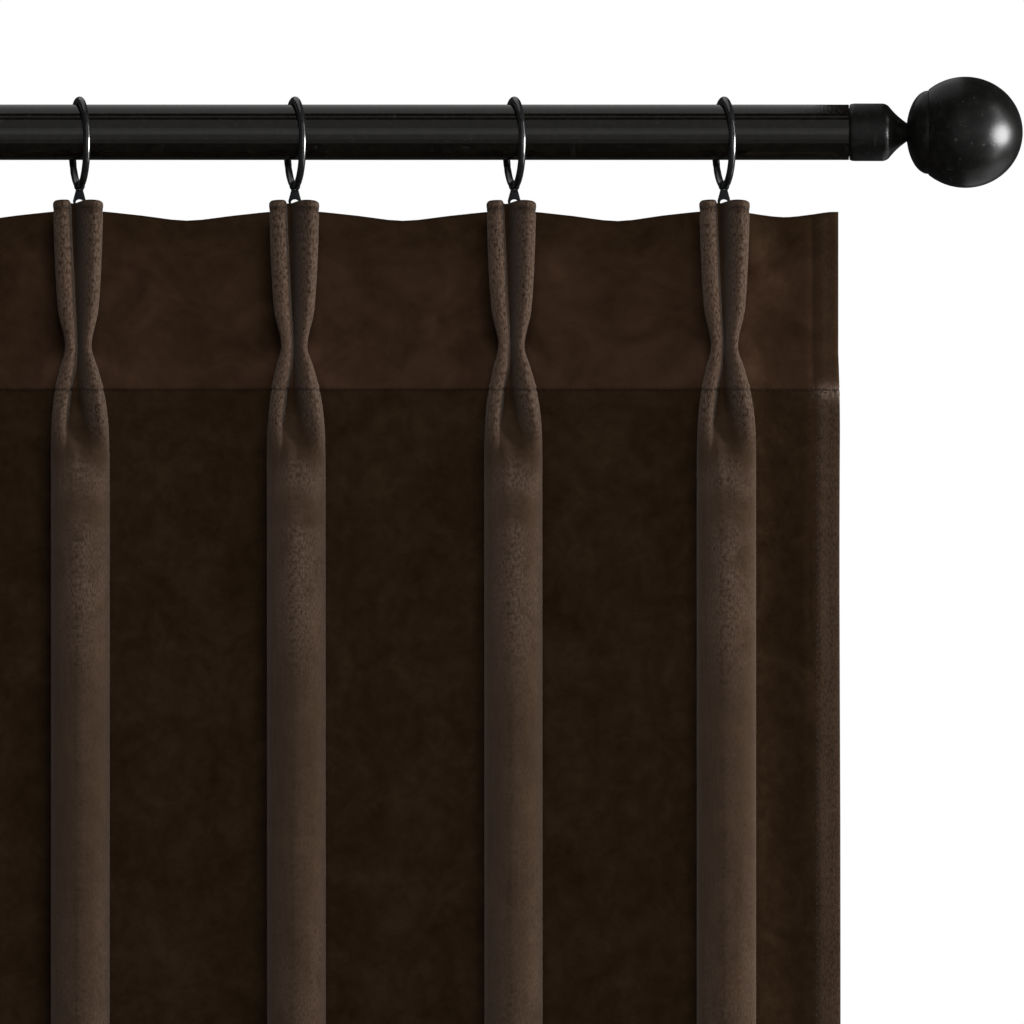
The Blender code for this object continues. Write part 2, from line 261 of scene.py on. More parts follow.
@dataclass(frozen=True)
class VelvetFinish:
    """Cut pile: dark where it stands to the viewer, bright where it is seen along.

    The layers run from single tufts to clouds, a comb down the folds and a crossways weft.
    The shares are those of pile, mottle, clouds and weft. The ranges are a ramp's low and
    high, and where given its start and end.
    """

    name: str = "velvet_pile"
    deep: Colour = (0.0096, 0.0049, 0.0023)
    middle: Colour = (0.0140, 0.0076, 0.0038)
    lifted: Colour = (0.0196, 0.0112, 0.0060)
    # painted shade between the crushed clumps
    crevice_shade: Colour = (0.0160, 0.0098, 0.0064)
    # brushed pile, and the painted light on the columns and on the side hem's ridge
    brushed_and_lit: Colour = (0.0690, 0.0470, 0.0350)
    # frosted tips, and a painted highlight on the clump tops
    frosted_and_lit: Colour = (0.0980, 0.0710, 0.0560)
    # the heading's lighter tone, also carrying painted light and shade along its creases
    heading_tone: Colour = (0.0640, 0.0325, 0.0215)
    # painted shade in the finger valley, the grooves and along the top edge
    shade_colour: Colour = (0.0040, 0.0021, 0.0010)
    pile: Grain = Grain(1900.0, 2.0, 0.6)
    mottle: Grain = Grain(150.0, 4.0, 0.62, 0.5)
    clouds: Grain = Grain(34.0, 3.0, 0.6, 0.8)
    patches: Grain = Grain(60.0, 3.0, 0.6, 0.8)
    weft: Grain = Grain(1300.0, 1.0, 0.5, stretch=(0.22, 1.0, 1.0))
    comb: Grain = Grain(700.0, 2.0, 0.5, stretch=(1.0, 0.06, 1.0))
    clumps: Grain = Grain(1250.0, 3.0, 0.66, 0.1, (1.0, 0.38, 1.0))
    tone_shares: tuple[float, ...] = (0.10, 0.35, 0.45, 0.10)
    height_shares: tuple[float, ...] = (0.10, 0.35, 0.9, 0.06)
    tone_places: tuple[float, ...] = (0.36, 0.50, 0.64)
    bark_places: tuple[float, ...] = (0.36, 0.51, 0.66)
    patch_range: tuple[float, ...] = (0.26, 0.54)
    heading_tone_range: tuple[float, ...] = (0.25, 0.7, 0.08, 0.20)
    combed_range: tuple[float, ...] = (0.34, 0.68, 0.22, 0.29)
    roughness_range: tuple[float, ...] = (0.2, 0.8, 0.74, 0.92)
    crushed_share: float = 0.85
    painted_shade_share: float = 0.9
    depth: float = 1.2 * MM
    depth_share: float = 0.8
    smooth_clumps: float = 0.05
    sheen: float = 0.06
    sheen_roughness: float = 0.42
    sheen_tint: Colour = (1.0, 0.82, 0.70)

    def make(self) -> bpy.types.Material:
        """Build the material on the cloth's UV map in metres and its masks."""
        paint = Paint(self.name, "UV")
        layers = [paint.noise(grain) for grain in (self.pile, self.mottle, self.clouds,
                                                   self.weft)]
        _, mottle, clouds, _ = layers
        clumps = paint.noise(self.clumps)
        patches = paint.ramp(paint.noise(self.patches), *self.patch_range)
        crushed = paint.mask("crush") + paint.mask("patchy") * patches
        tone, height = [sum(layer * share for layer, share in zip(layers, shares))
                        for shares in (self.tone_shares, self.height_shares)]
        colour = paint.tones(tone, self.tone_places, self.deep, self.middle, self.lifted)
        # The heading is lighter in clouds, with painted light on crease ridges and painted shade in
        # troughs.
        colour = paint.blend(paint.mask("heading") * paint.ramp(clouds, *self.heading_tone_range),
                             colour, self.heading_tone)
        # Painted light on the columns, most on their left flanks, a painted highlight on the side
        # hem's ridge and lighter pile at the tack, streaked by the comb.
        comb = paint.ramp(paint.noise(self.comb), *self.combed_range)
        colour = paint.blend(paint.mask("combed") * comb, colour, self.brushed_and_lit)
        # Crushed pile: painted shade in its crevices and a painted highlight on its clump tops.
        bark = paint.tones(clumps, self.bark_places, self.crevice_shade, self.brushed_and_lit, self.frosted_and_lit)
        colour = paint.blend(crushed * self.crushed_share, colour, bark)
        # Painted shade in the finger valley, in the seams' and hem's grooves and along the top
        # edge.
        colour = paint.blend(paint.mask("sewn") * self.painted_shade_share, colour, self.shade_colour)
        height = height + clumps * (crushed + self.smooth_clumps)
        return paint.surface(
            Base_Color=colour, Roughness=paint.ramp(mottle, *self.roughness_range),
            Normal=paint.bump(height, self.depth, self.depth_share), Specular_IOR_Level=0.0,
            Sheen_Weight=self.sheen, Sheen_Roughness=self.sheen_roughness,
            Sheen_Tint=(*self.sheen_tint, 1.0))


@dataclass(frozen=True)
class ThreadFinish:
    """Twisted sewing thread."""

    name: str = "brown_thread"
    colour: Colour = (0.0125, 0.0072, 0.0040)
    twist: Grain = Grain(2600.0, 1.0, 0.5)
    ply_range: Pair = (0.3, 0.7)
    shade: float = 0.55
    depth: float = 0.15 * MM
    depth_share: float = 0.6
    roughness: float = 0.75
    shine: float = 0.15
    sheen: float = 0.08
    sheen_roughness: float = 0.5

    def make(self) -> bpy.types.Material:
        """Build the material with a dark line between its plies."""
        paint = Paint(self.name)
        ply = paint.noise(self.twist)
        dark = scaled(self.colour, self.shade)
        return paint.surface(
            Base_Color=paint.blend(paint.ramp(ply, *self.ply_range), dark, self.colour),
            Normal=paint.bump(ply, self.depth, self.depth_share), Roughness=self.roughness,
            Specular_IOR_Level=self.shine, Sheen_Weight=self.sheen,
            Sheen_Roughness=self.sheen_roughness)


@dataclass(frozen=True)
class PaintFinish:
    """Black paint on metal, with a faint orange peel, dust, fine scratches and a soft wear."""

    name: str
    colour: Colour
    roughness: float
    peel: float
    dust: float
    shine: float = 0.5
    spread: float = 0.06
    peel_grain: Grain = Grain(900.0, 2.0, 0.5)
    cloud: Grain = Grain(60.0, 3.0, 0.6)
    haze: Grain = Grain(260.0, 5.0, 0.7)
    speck: Grain = Grain(620.0, 1.0, 0.4)
    scratch: Grain = Grain(520.0, 1.0, 0.4, 0.3, (1.0, 0.07, 0.07))
    speck_range: Pair = (0.71, 0.76)
    scratch_range: Pair = (0.74, 0.77)
    wear_range: Pair = (0.40, 0.70)
    cloud_range: Pair = (0.25, 0.75)
    scratch_share: float = 0.35
    speck_rough: float = 0.1
    wear_share: float = 0.8
    worn_factor: float = 2.4
    dust_factor: float = 3.0
    dust_lift: float = 0.02
    ior: float = 1.5

    def make(self) -> bpy.types.Material:
        """Build the material."""
        paint = Paint(self.name)
        scratches = paint.ramp(paint.noise(self.scratch), *self.scratch_range)
        specks = (paint.ramp(paint.noise(self.speck), *self.speck_range)
                  + scratches * self.scratch_share)
        wear = paint.ramp(paint.noise(self.haze), *self.wear_range) * self.wear_share
        worn = paint.blend(wear, self.colour, scaled(self.colour, self.worn_factor))
        pale = scaled(self.colour, self.dust_factor, self.dust_lift)
        rough = paint.ramp(paint.noise(self.cloud), *self.cloud_range,
                           self.roughness - self.spread / 2, self.roughness + self.spread / 2)
        return paint.surface(
            Base_Color=paint.blend(specks * self.dust, worn, pale), IOR=self.ior,
            Roughness=rough + specks * self.speck_rough, Specular_IOR_Level=self.shine,
            Normal=paint.bump(paint.noise(self.peel_grain), self.peel))


@dataclass(frozen=True)
class FloorFinish:
    """A plain pale studio floor."""

    name: str = "studio_floor"
    colour: Colour = (0.80, 0.80, 0.79)
    tone: Grain = Grain(1.5, 3.0, 0.5)
    shade: float = 0.97
    roughness: float = 0.8

    def make(self) -> bpy.types.Material:
        """Build the material with a faint tone change."""
        paint = Paint(self.name)
        return paint.surface(Roughness=self.roughness, Base_Color=paint.blend(
            paint.noise(self.tone), self.colour, scaled(self.colour, self.shade)))


ROD_PAINT = PaintFinish("rod_satin", (0.0020, 0.0017, 0.0012), 0.05, 0.01 * MM, 0.3)
GLOSS_PAINT = PaintFinish("finial_gloss", (0.0022, 0.0022, 0.0020), 0.31, 0.04 * MM, 0.6, 0.22)
RING_PAINT = PaintFinish("ring_black", (0.004, 0.004, 0.0042), 0.20, 0.01 * MM, 0.1, 0.9)
CLIP_PAINT = PaintFinish("clip_black", (0.0045, 0.0053, 0.0062), 0.50, 0.02 * MM, 0.2, 0.14)


# ---- Mesh helpers ----


def mix(start: Any, end: Any, share: Any) -> Any:
    """Blend two numbers or arrays."""
    return start + (end - start) * share


def rise(values: np.ndarray, start: float, end: float) -> np.ndarray:
    """0 on start's side, 1 on end's side and even between; start may be the higher."""
    return np.clip((values - start) / (end - start), 0, 1)


def add_piece(name: str, mesh: bpy.types.Mesh, material: bpy.types.Material, slot: Slot,
              *replaces: str) -> bpy.types.Object:
    """Link a mesh as a finished piece of the object.

    Args:
        name: the piece's name.
        mesh: its mesh, in place.
        material: its material.
        slot: not used.
        replaces: the CAD nodes that it stands for.

    Returns:
        The new object.
    """
    mesh.name = name
    piece = bpy.data.objects.new(name, mesh)
    bpy.context.scene.collection.objects.link(piece)
    if not mesh.materials:
        mesh.materials.append(material)
    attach(piece, BODY)
    if replaces:
        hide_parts(*replaces)
    LOG.info("%s: %d faces", name, len(mesh.polygons))
    return piece


def grid_quads(numbers: np.ndarray) -> np.ndarray:
    """Quads over a grid of vertex numbers."""
    return np.stack((numbers[:-1, :-1], numbers[1:, :-1], numbers[1:, 1:], numbers[:-1, 1:]),
                    axis=-1).reshape(-1, 4)


def make_mesh(points: np.ndarray, faces: np.ndarray) -> bpy.types.Mesh:
    """A smooth mesh.

    Args:
        points: its vertices, with X, Y and Z last.
        faces: its quads.

    Returns:
        The mesh.
    """
    mesh = bpy.data.meshes.new("piece")
    mesh.from_pydata(points.reshape(-1, 3).tolist(), [], faces.tolist())
    mesh.shade_smooth()
    return mesh


def wrapped_mesh(points: np.ndarray) -> bpy.types.Mesh:
    """A mesh over a grid of points that closes on itself both ways."""
    numbers = np.arange(points[..., 0].size).reshape(points.shape[:2])
    return make_mesh(points, grid_quads(np.pad(numbers, (0, 1), mode="wrap")))


def outward_mesh(shape: bmesh.types.BMesh, gap: float, sharp: float) -> bpy.types.Mesh:
    """Make a closed shape a mesh with its faces outwards.

    Args:
        shape: the shape, which is used up.
        gap: vertices nearer than this many metres are merged.
        sharp: edges sharper than this many degrees stay crisp.

    Returns:
        The mesh.
    """
    bmesh.ops.remove_doubles(shape, verts=shape.verts, dist=gap)
    bmesh.ops.recalc_face_normals(shape, faces=shape.faces)
    mesh = bpy.data.meshes.new("piece")
    shape.to_mesh(mesh)
    shape.free()
    mesh.shade_smooth()
    mesh.set_sharp_from_angle(angle=math.radians(sharp))
    return mesh


def take_mesh(guide: bpy.types.Object) -> bpy.types.Mesh:
    """Turn a curve or a modified object into the plain mesh that it makes.

    Args:
        guide: the object, which is removed.

    Returns:
        The mesh.
    """
    bpy.context.scene.collection.objects.link(guide)
    graph = bpy.context.evaluated_depsgraph_get()
    mesh = bpy.data.meshes.new_from_object(guide.evaluated_get(graph))
    bpy.data.objects.remove(guide)
    return mesh


# ---- Cloth ----


@dataclass(frozen=True)
class FoldLevel:
    """The fold at one level, in mm.

    drop is below the rod's axis. split is 1 where the pleat is two fingers and 0 where it
    is one round column. width is half the pleat's, gap is half the space between the
    fingers, lean is how far right of the pleat's middle that space lies, and drift is how
    far right the whole pleat has moved. front, valley, back and bow say how far behind the
    rod's axis lie the finger tips, the valley between them, the roots and the panel's
    middle. neck is half the space between the roots, and curl is how far a free edge turns
    back.
    """

    drop: float
    split: float
    width: float
    gap: float
    lean: float
    drift: float
    front: float
    valley: float
    neck: float
    back: float
    bow: float
    curl: float


FOLD_LEVELS = tuple(FoldLevel(*row) for row in (
    (31.1, 1.00, 10.8, 1.8, -2.4, 0.0, -14.5, -1.35, 1.6, 6.5, 14.5, 0.0),
    (55.0, 1.00, 10.1, 1.6, -1.6, 0.0, -14.7, -1.40, 1.6, 6.5, 15.0, 0.3),
    (80.0, 1.00, 8.6, 1.3, -0.7, 0.0, -14.0, -1.60, 1.6, 6.5, 15.5, 0.6),
    (98.0, 1.00, 5.4, 1.1, 0.0, 0.0, -11.5, -2.60, 1.5, 6.3, 16.0, 0.8),
    (108.0, 1.00, 8.0, 1.3, -0.7, 0.3, -13.0, -3.60, 1.6, 6.5, 16.3, 1.0),
    (119.0, 0.95, 10.6, 2.7, -1.9, 0.6, -15.2, -4.60, 2.0, 7.1, 16.7, 1.2),
    (129.0, 0.86, 12.0, 4.6, -1.6, 0.8, -16.4, -5.80, 2.8, 8.6, 17.2, 1.6),
    (138.0, 0.62, 12.6, 6.2, -0.8, 0.9, -17.1, -7.60, 3.8, 10.6, 17.7, 2.0),
    (152.0, 0.18, 12.8, 6.6, -0.2, 0.9, -17.8, -10.0, 5.2, 12.8, 18.5, 2.5),
    (200.0, 0.00, 12.8, 6.0, 0.0, 0.9, -18.5, -11.0, 6.2, 15.0, 20.0, 3.2),
    (560.0, 0.00, 12.8, 6.0, 0.0, 0.9, -18.7, -11.0, 6.6, 16.0, 20.5, 3.8),
    (1100.0, 0.00, 12.9, 6.0, 0.0, 0.9, -18.5, -11.0, 6.9, 16.3, 20.7, 3.8),
    (1640.0, 0.00, 13.2, 6.0, 0.0, 0.9, -18.1, -11.0, 7.3, 16.5, 20.9, 3.6),
    (2165.1, 0.00, 13.5, 6.0, 0.0, 0.9, -17.5, -11.0, 7.8, 16.7, 21.1, 3.6),
))


@dataclass(frozen=True)
class Pleat:
    """How one pleat differs from the others.

    shift moves it right and sway swings its hem right, in mm. plump and deep scale its
    width and depth, lift raises its top in mm, and sag scales the bow of the panel on its
    right.
    """

    shift: float
    sway: float
    plump: float
    deep: float
    lift: float
    sag: float


PLEATS = tuple(Pleat(*row) for row in (
    (0.6, -2.4, 1.02, 0.98, 0.2, 0.92),
    (-0.4, 2.2, 0.98, 1.02, -0.2, 1.10),
    (0.3, -1.4, 1.01, 0.99, 0.1, 0.96),
    (0.0, 1.0, 1.00, 1.00, 0.1, 1.04),
    (-0.2, 1.8, 1.00, 1.00, 0.0, 0.92),
    (0.1, 0.6, 0.99, 1.02, -0.1, 1.06),
    (-1.4, 1.6, 1.01, 0.98, 0.1, 1.00),
))


@dataclass(frozen=True)
class Crease:
    """A soft trough or ridge on every pleat.

    Stations count outwards from the pleat's middle: 4 is a finger's tip, 6 the pleat's
    side, 8 the root and 12 the middle of the panel. Drops and sizes are in mm, and a
    height above 0 is a ridge.
    """

    side: Side
    station: float
    end_station: float
    top: float
    bottom: float
    width: float
    height: float
    jitter: float = 0.2


L, R = Side
CREASES = tuple(Crease(*row) for row in (
    (L, 4.5, 4.3, 88.0, 106.0, 0.36, 0.55),
    (L, 5.5, 5.2, 89.0, 108.0, 0.32, -0.55),
    (R, 4.4, 4.6, 89.0, 107.0, 0.36, 0.50),
    (R, 5.6, 5.2, 88.0, 105.0, 0.32, -0.50),
    (L, 3.6, 4.4, 110.0, 133.0, 0.34, -0.40),
    (L, 5.0, 5.3, 112.0, 136.0, 0.34, -0.35),
    (R, 4.9, 5.3, 108.0, 150.0, 0.40, -0.40),
    (R, 3.9, 4.6, 112.0, 150.0, 0.50, 0.35),
    (L, 2.6, 3.4, 150.0, 620.0, 0.9, -0.30),
    (R, 3.2, 2.6, 170.0, 900.0, 1.0, -0.30),
    (L, 4.6, 4.2, 320.0, 1500.0, 0.8, 0.25),
    (R, 5.0, 5.4, 500.0, 2160.0, 0.9, 0.25),
    (L, 9.6, 10.8, 94.0, 119.0, 0.35, 1.5),
    (R, 9.6, 10.7, 93.0, 120.0, 0.35, 1.3),
    (L, 9.9, 10.6, 60.0, 110.0, 0.4, -0.9),
    (R, 9.6, 10.5, 33.0, 66.0, 0.35, 1.8),
    (L, 9.8, 10.5, 34.0, 60.0, 0.35, -0.8),
    (R, 10.0, 10.05, 118.0, 175.0, 0.16, 0.40),
    (R, 10.4, 10.4, 118.0, 160.0, 0.14, -0.45),
    (R, 10.8, 10.85, 118.0, 168.0, 0.16, 0.40),
    (L, 10.2, 10.2, 118.0, 165.0, 0.16, 0.35),
    (L, 11.0, 10.6, 180.0, 1300.0, 0.6, -0.6, 0.5),
    (R, 10.6, 11.3, 220.0, 2000.0, 0.5, 0.6, 0.5),
))
# How much a crease's line wanders, in stations, with its wave down and its own shift, and
# how much its height varies.
CREASE_WANDER = 0.12
CREASE_WAVE = 7.0
CREASE_SHIFT = 3.0
CREASE_VARIES = 0.35

# How far below the finger tops the top edge lies, in mm: from the valley out to the middle
# of a panel, and from the last root out to a side edge.
PLEAT_EDGE_DIP = (1.6, 1.3, 0.7, 0.0, 0.0, 0.4, 1.4, 2.6, 4.2, 4.8)
PANEL_EDGE_DIP = (4.9, 6.9, 9.2)
TAIL_EDGE_DIP = (5.4, 7.7, 6.6, 5.4, 5.3)

# Steps between one station and the next, in the same order.
PLEAT_STEPS = (2, 2, 3, 3, 3, 3, 3, 3, 3)
PANEL_STEPS = (2, 3, 3)
TAIL_STEPS = (4, 4, 4, 4, 4)

# The left finger's tip as (out, back) points, in radii from its middle and from its front.
FINGER_TIP = ((-0.75, 0.34), (0.05, 0.0), (0.80, 0.42), (1.0, 1.25))
# The right finger's long inner slope and its tip as (out, forward) points: shares of the way
# from the valley's floor to the finger's side, and from the valley to the front.
FINGER_SLOPE = ((0.08, 0.10), (0.23, 0.36), (0.455, 0.72), (0.727, 0.985), (0.91, 0.87),
                (1.0, 0.55))
SLOPE_FLOOR = 0.3
# A round column's quarter turns in degrees, and its depth as a share of the fold's.
COLUMN_TURNS = (0, 13, 27, 41, 55, 71, 90)
COLUMN_DEPTH = 0.45
# Where a pleat's side draws in to its root, as shares of the way in and the way back.
WAIST_IN = 0.42
FINGER_WAIST_BACK = 0.62
COLUMN_WAIST_BACK = 0.55
# The valley's floor: how far out it reaches and how far forward it rises, in gaps.
FLOOR_REACH = 0.85
FLOOR_RISE = 0.55
# The root: how far its turn starts in front of the roots' depth and ends out and behind.
ROOT_LEAD = 1.7
ROOT_TURN = (1.5, 0.5)
# A panel between two pleats: its first point's distance from the root in mm, its second's
# share of the way to the panel's middle, and each one's share of the bow.
PANEL_START = 5.5
PANEL_SECOND = 0.55
PANEL_BOWED = (0.45, 0.88)
# The cloth out to a free edge: the same for its first two points, its share of the bow at the
# hem, how far inside the hem's line it bends in mm, how much of the hem lies outside its
# middle point, and that point's share of the curl.
TAIL_START = 7.0
TAIL_SECOND = 0.5
TAIL_BOWED = (0.35, 0.45)
HEM_BOWED = 0.2
HEM_LEAD = 2.0
HEM_OUTSIDE = 0.4
HEM_CURLED = 0.35

# Rows of the mesh: below the top edge, about the heading's seam and the hem's, and above the
# bottom edge, in mm; then the even steps between them, the gaps they leave to the rows named
# first, and where the fine rows end.
TOP_ROWS = (0.0, 0.35, 1.0, 2.0)
SEAM_ROWS = (-2.6, -1.6, -0.9, -0.35, 0.1, 0.5, 1.0, 1.8, 3.0)
HEM_ROWS = (-3.0, -1.2, -0.4, 0.2, 0.9, 2.4, 8.0)
BOTTOM_ROWS = (2.5, 1.0, 0.35, 0.0)
HEADING_STEP = 2.55
HEADING_GAP = 3.6
PINCH_STEP = 2.9
PINCH_GAP = 5.2
FINE_END = 182.0
HEM_GAP = 35.0
BOTTOM_GAP = 6.0
COLUMN_ROWS = 22
COLUMN_ROWS_POWER = 1.35
# A row in the heading, where the cloth's width is measured.
MEASURED_ROW = 20


@dataclass(frozen=True)
class Band:
    """A soft band along a line: how far from it, how wide in mm, and how high or strong."""

    away: float
    width: float
    size: float

    def over(self, distance: np.ndarray) -> np.ndarray:
        """The band at each distance from its line."""
        return self.size * np.exp(-((distance - self.away) / self.width) ** 2)


@dataclass(frozen=True)
class Wave:
    """A sine down the cloth whose phase swings: turns in radians a mm, swing in radians."""

    turn: float
    swing: float
    swing_turn: float

    def at(self, drops: np.ndarray, phase: Any = 0.0) -> np.ndarray:
        """The sine at each drop."""
        return np.sin(drops * self.turn + self.swing * np.sin(drops * self.swing_turn) + phase)


# What the sewing presses into the cloth and what it pushes up, in mm.
SEAM_LIP = Band(-1.4, 0.9, 0.16)
SEAM_GROOVE = Band(0.35, 0.6, -0.26)
TOP_GROOVE = Band(3.5, 0.7, -0.32)
TACK_LUMPS = Band(1.0, 4.0, 0.8)
LUMPS_ACROSS = Wave(0.0, 1.3, 1.1)
LUMPS_ACROSS_TURN = 2.9
LUMPS_DOWN = (1.25, 0.6)
HEM_GROOVE = Band(0.0, 0.9, -0.55)
HEM_RIDGE = Band(-2.2, 1.6, 0.30)
HEM_SEAM_SHARE = 0.8
HEM_WIDENS = 0.25
FINGER_STATIONS = (2.0, 7.5)
# The sheet at its edges, as the width of its rounding in mm and its least share, and the
# layers that the heading and the hem add, as shares, with the width of their step in mm.
WALL_ROUNDING = 0.9
WALL_LEAST = 0.10
HEADING_LAYER = 0.12
HEM_LAYER = 0.25
LAYER_STEP = 1.2
# Where the pile is crushed at the tack, a painted highlight along the side hem's ridge, and
# painted shade along the hem's lines, the valley between the fingers, the seams, the top
# stitching's groove and the top edge.
TACK = Band(1.0, 3.4, 1.0)
PAINTED_RIDGE_HIGHLIGHT = Band(-3.6, 1.8, 1.0)
RIDGE_LUMPS = Wave(1.1, 1.6, 0.37)
RIDGE_LIMITS = (0.6, 1.0)
HEM_SHADE = Band(0.3, 0.6, 1.0)
INNER_HEM_SHADE = Band(3.8, 0.55, 0.6)
VALLEY_SHADE = Band(1.0, 1.4, 0.26)
SEAM_SHADE = Band(0.45, 0.42, 0.75)
TOP_SHADE = Band(3.5, 0.5, 0.6)
RIM_SHADE = Band(0.0, 0.7, 0.7)
# Where a look begins and is full: by station over a pleat and up its right and left slopes,
# and by drop in mm down the fingers and the column; then by mm from the top edge, the seam
# and the side hem's line.
PLEAT_FADE = (7.6, 6.6)
RIGHT_SLOPE_FADE = (1.7, 3.3)
LEFT_SLOPE_FADE = (1.6, 2.8)
PANEL_FADE = (9.5, 11.0)
FINGER_FADE = (150.0, 124.0)
COLUMN_FADE = (122.0, 162.0)
HEADING_FADE = (6.0, 36.0)
ABOVE_SEAM_FADE = (0.0, -1.0)
BELOW_SEAM_FADE = (0.0, 4.0)
SIDE_HEM_FADE = (0.5, -1.5)
TACK_FADE = (2.0, -1.0)
# How crushed the fingers, the column, the side hem above and below the seam, and the tack are.
FINGER_CRUSH = 0.58
COLUMN_CRUSH = 0.05
HEM_CRUSH = (0.05, 0.22)
TACK_CRUSH = 0.8
TACK_COMBED = 1.6
# How much painted shade darkens the side hem above and below the seam, and its line likewise.
SIDE_HEM_SHADE = (0.12, 0.34)
HEM_LINE_SHADE = (0.9, 0.7)
# The heading's lighter tone: its least near the top edge, how much a crease adds, as painted
# light on its ridges and painted shade in its troughs, its least and most there, and how much
# the side hem takes away.
HEADING_LEAST = 0.15
HEADING_CREASE_LIGHT = 0.8
HEADING_LIMITS = (0.2, 2.2)
HEADING_HEMMED = 0.8
# The column's patches: their middle strength, swing and least, how much their line waves, and
# its turns across a station and down a mm.
PATCH_MIDDLE = 0.5
PATCH_SWING = 0.8
PATCH_LEAST = 0.12
PATCH_WAVE = 0.5
PATCH_ACROSS = 0.9
PATCH_DOWN = 1 / 90.0
# How patchy a column is, and how much painted light it gets, most on its left flank and least
# just right of its middle, as stations and strengths.
PATCHY = ((-6, -4, -1.5, 2.5, 4, 6), (0.02, 0.14, 0.34, 0.34, 0.20, 0.08))
COLUMN_PAINTED_LIGHT = ((-5, -3.5, -1.5, 0, 1.8, 3.2, 4.5, 6),
          (1.5, 1.2, 0.95, 0.75, 0.35, 0.45, 0.75, 0.8))
# Long ripples of the panels: their number, height in mm, share above the seam, how far below
# it they are full, the lag of their wave down, and the lowest and highest wave across, wave
# down, phase and lean.
RIPPLES = 5
RIPPLE_HEIGHT = 0.28
RIPPLE_SHARE = 0.35
RIPPLE_REACH = 120.0
RIPPLE_LAG = 1.7
RIPPLE_LOW = (34, 500, 0, -0.02)
RIPPLE_HIGH = (85, 1400, 6.28, 0.02)


def hermite(start: np.ndarray, end: np.ndarray, leave: np.ndarray, arrive: np.ndarray,
            share: np.ndarray) -> np.ndarray:
    """A cubic between two values.

    Args:
        start: where it starts.
        end: where it ends.
        leave: its slope at the start.
        arrive: its slope at the end.
        share: how far along it.

    Returns:
        Its value there.
    """
    square = share * share
    cube = square * share
    return (start * (2 * cube - 3 * square + 1) + leave * (cube - 2 * square + share)
            + end * (3 * square - 2 * cube) + arrive * (cube - square))


def smooth_table(drops: np.ndarray) -> list[FoldLevel]:
    """The fold at finer drops, by cubics that never overshoot the table.

    Args:
        drops: the drops wanted, in mm.

    Returns:
        The fold at each.
    """
    table = np.array([astuple(level) for level in FOLD_LEVELS])
    knots = table[:, 0]
    steps = np.diff(knots)
    cell = np.clip(np.searchsorted(knots, drops, side="right") - 1, 0, len(steps) - 1)
    share = (drops - knots[cell]) / steps[cell]
    made = [drops]
    for values in table.T[1:]:
        slopes = np.diff(values) / steps
        before, after = slopes[:-1], slopes[1:]
        inner = np.where(before * after > 0, 2 * before * after / (before + after + 1e-12), 0.0)
        tangents = np.concatenate(([slopes[0]], inner, [slopes[-1]]))
        made.append(hermite(values[cell], values[cell + 1], tangents[cell] * steps[cell],
                            tangents[cell + 1] * steps[cell], share))
    return [FoldLevel(*row) for row in np.transpose(made).tolist()]


def smooth_line(points: np.ndarray, steps: Sequence[int]) -> np.ndarray:
    """Run a smooth curve through points.

    Args:
        points: the points, one to a row.
        steps: how many steps to take between each point and the next.

    Returns:
        The finer points.
    """
    spans = np.sqrt(np.linalg.norm(np.diff(points[:, :2], axis=0), axis=1))
    knots = np.concatenate(([0.0], np.cumsum(spans)))
    slopes = np.gradient(points, knots, axis=0)
    cell = np.repeat(np.arange(len(steps)), steps)
    share = np.concatenate([np.arange(count) / count for count in steps])[:, None]
    length = np.diff(knots)[cell][:, None]
    fine = hermite(points[cell], points[cell + 1], slopes[cell] * length,
                   slopes[cell + 1] * length, share)
    return np.vstack((fine, points[-1:]))


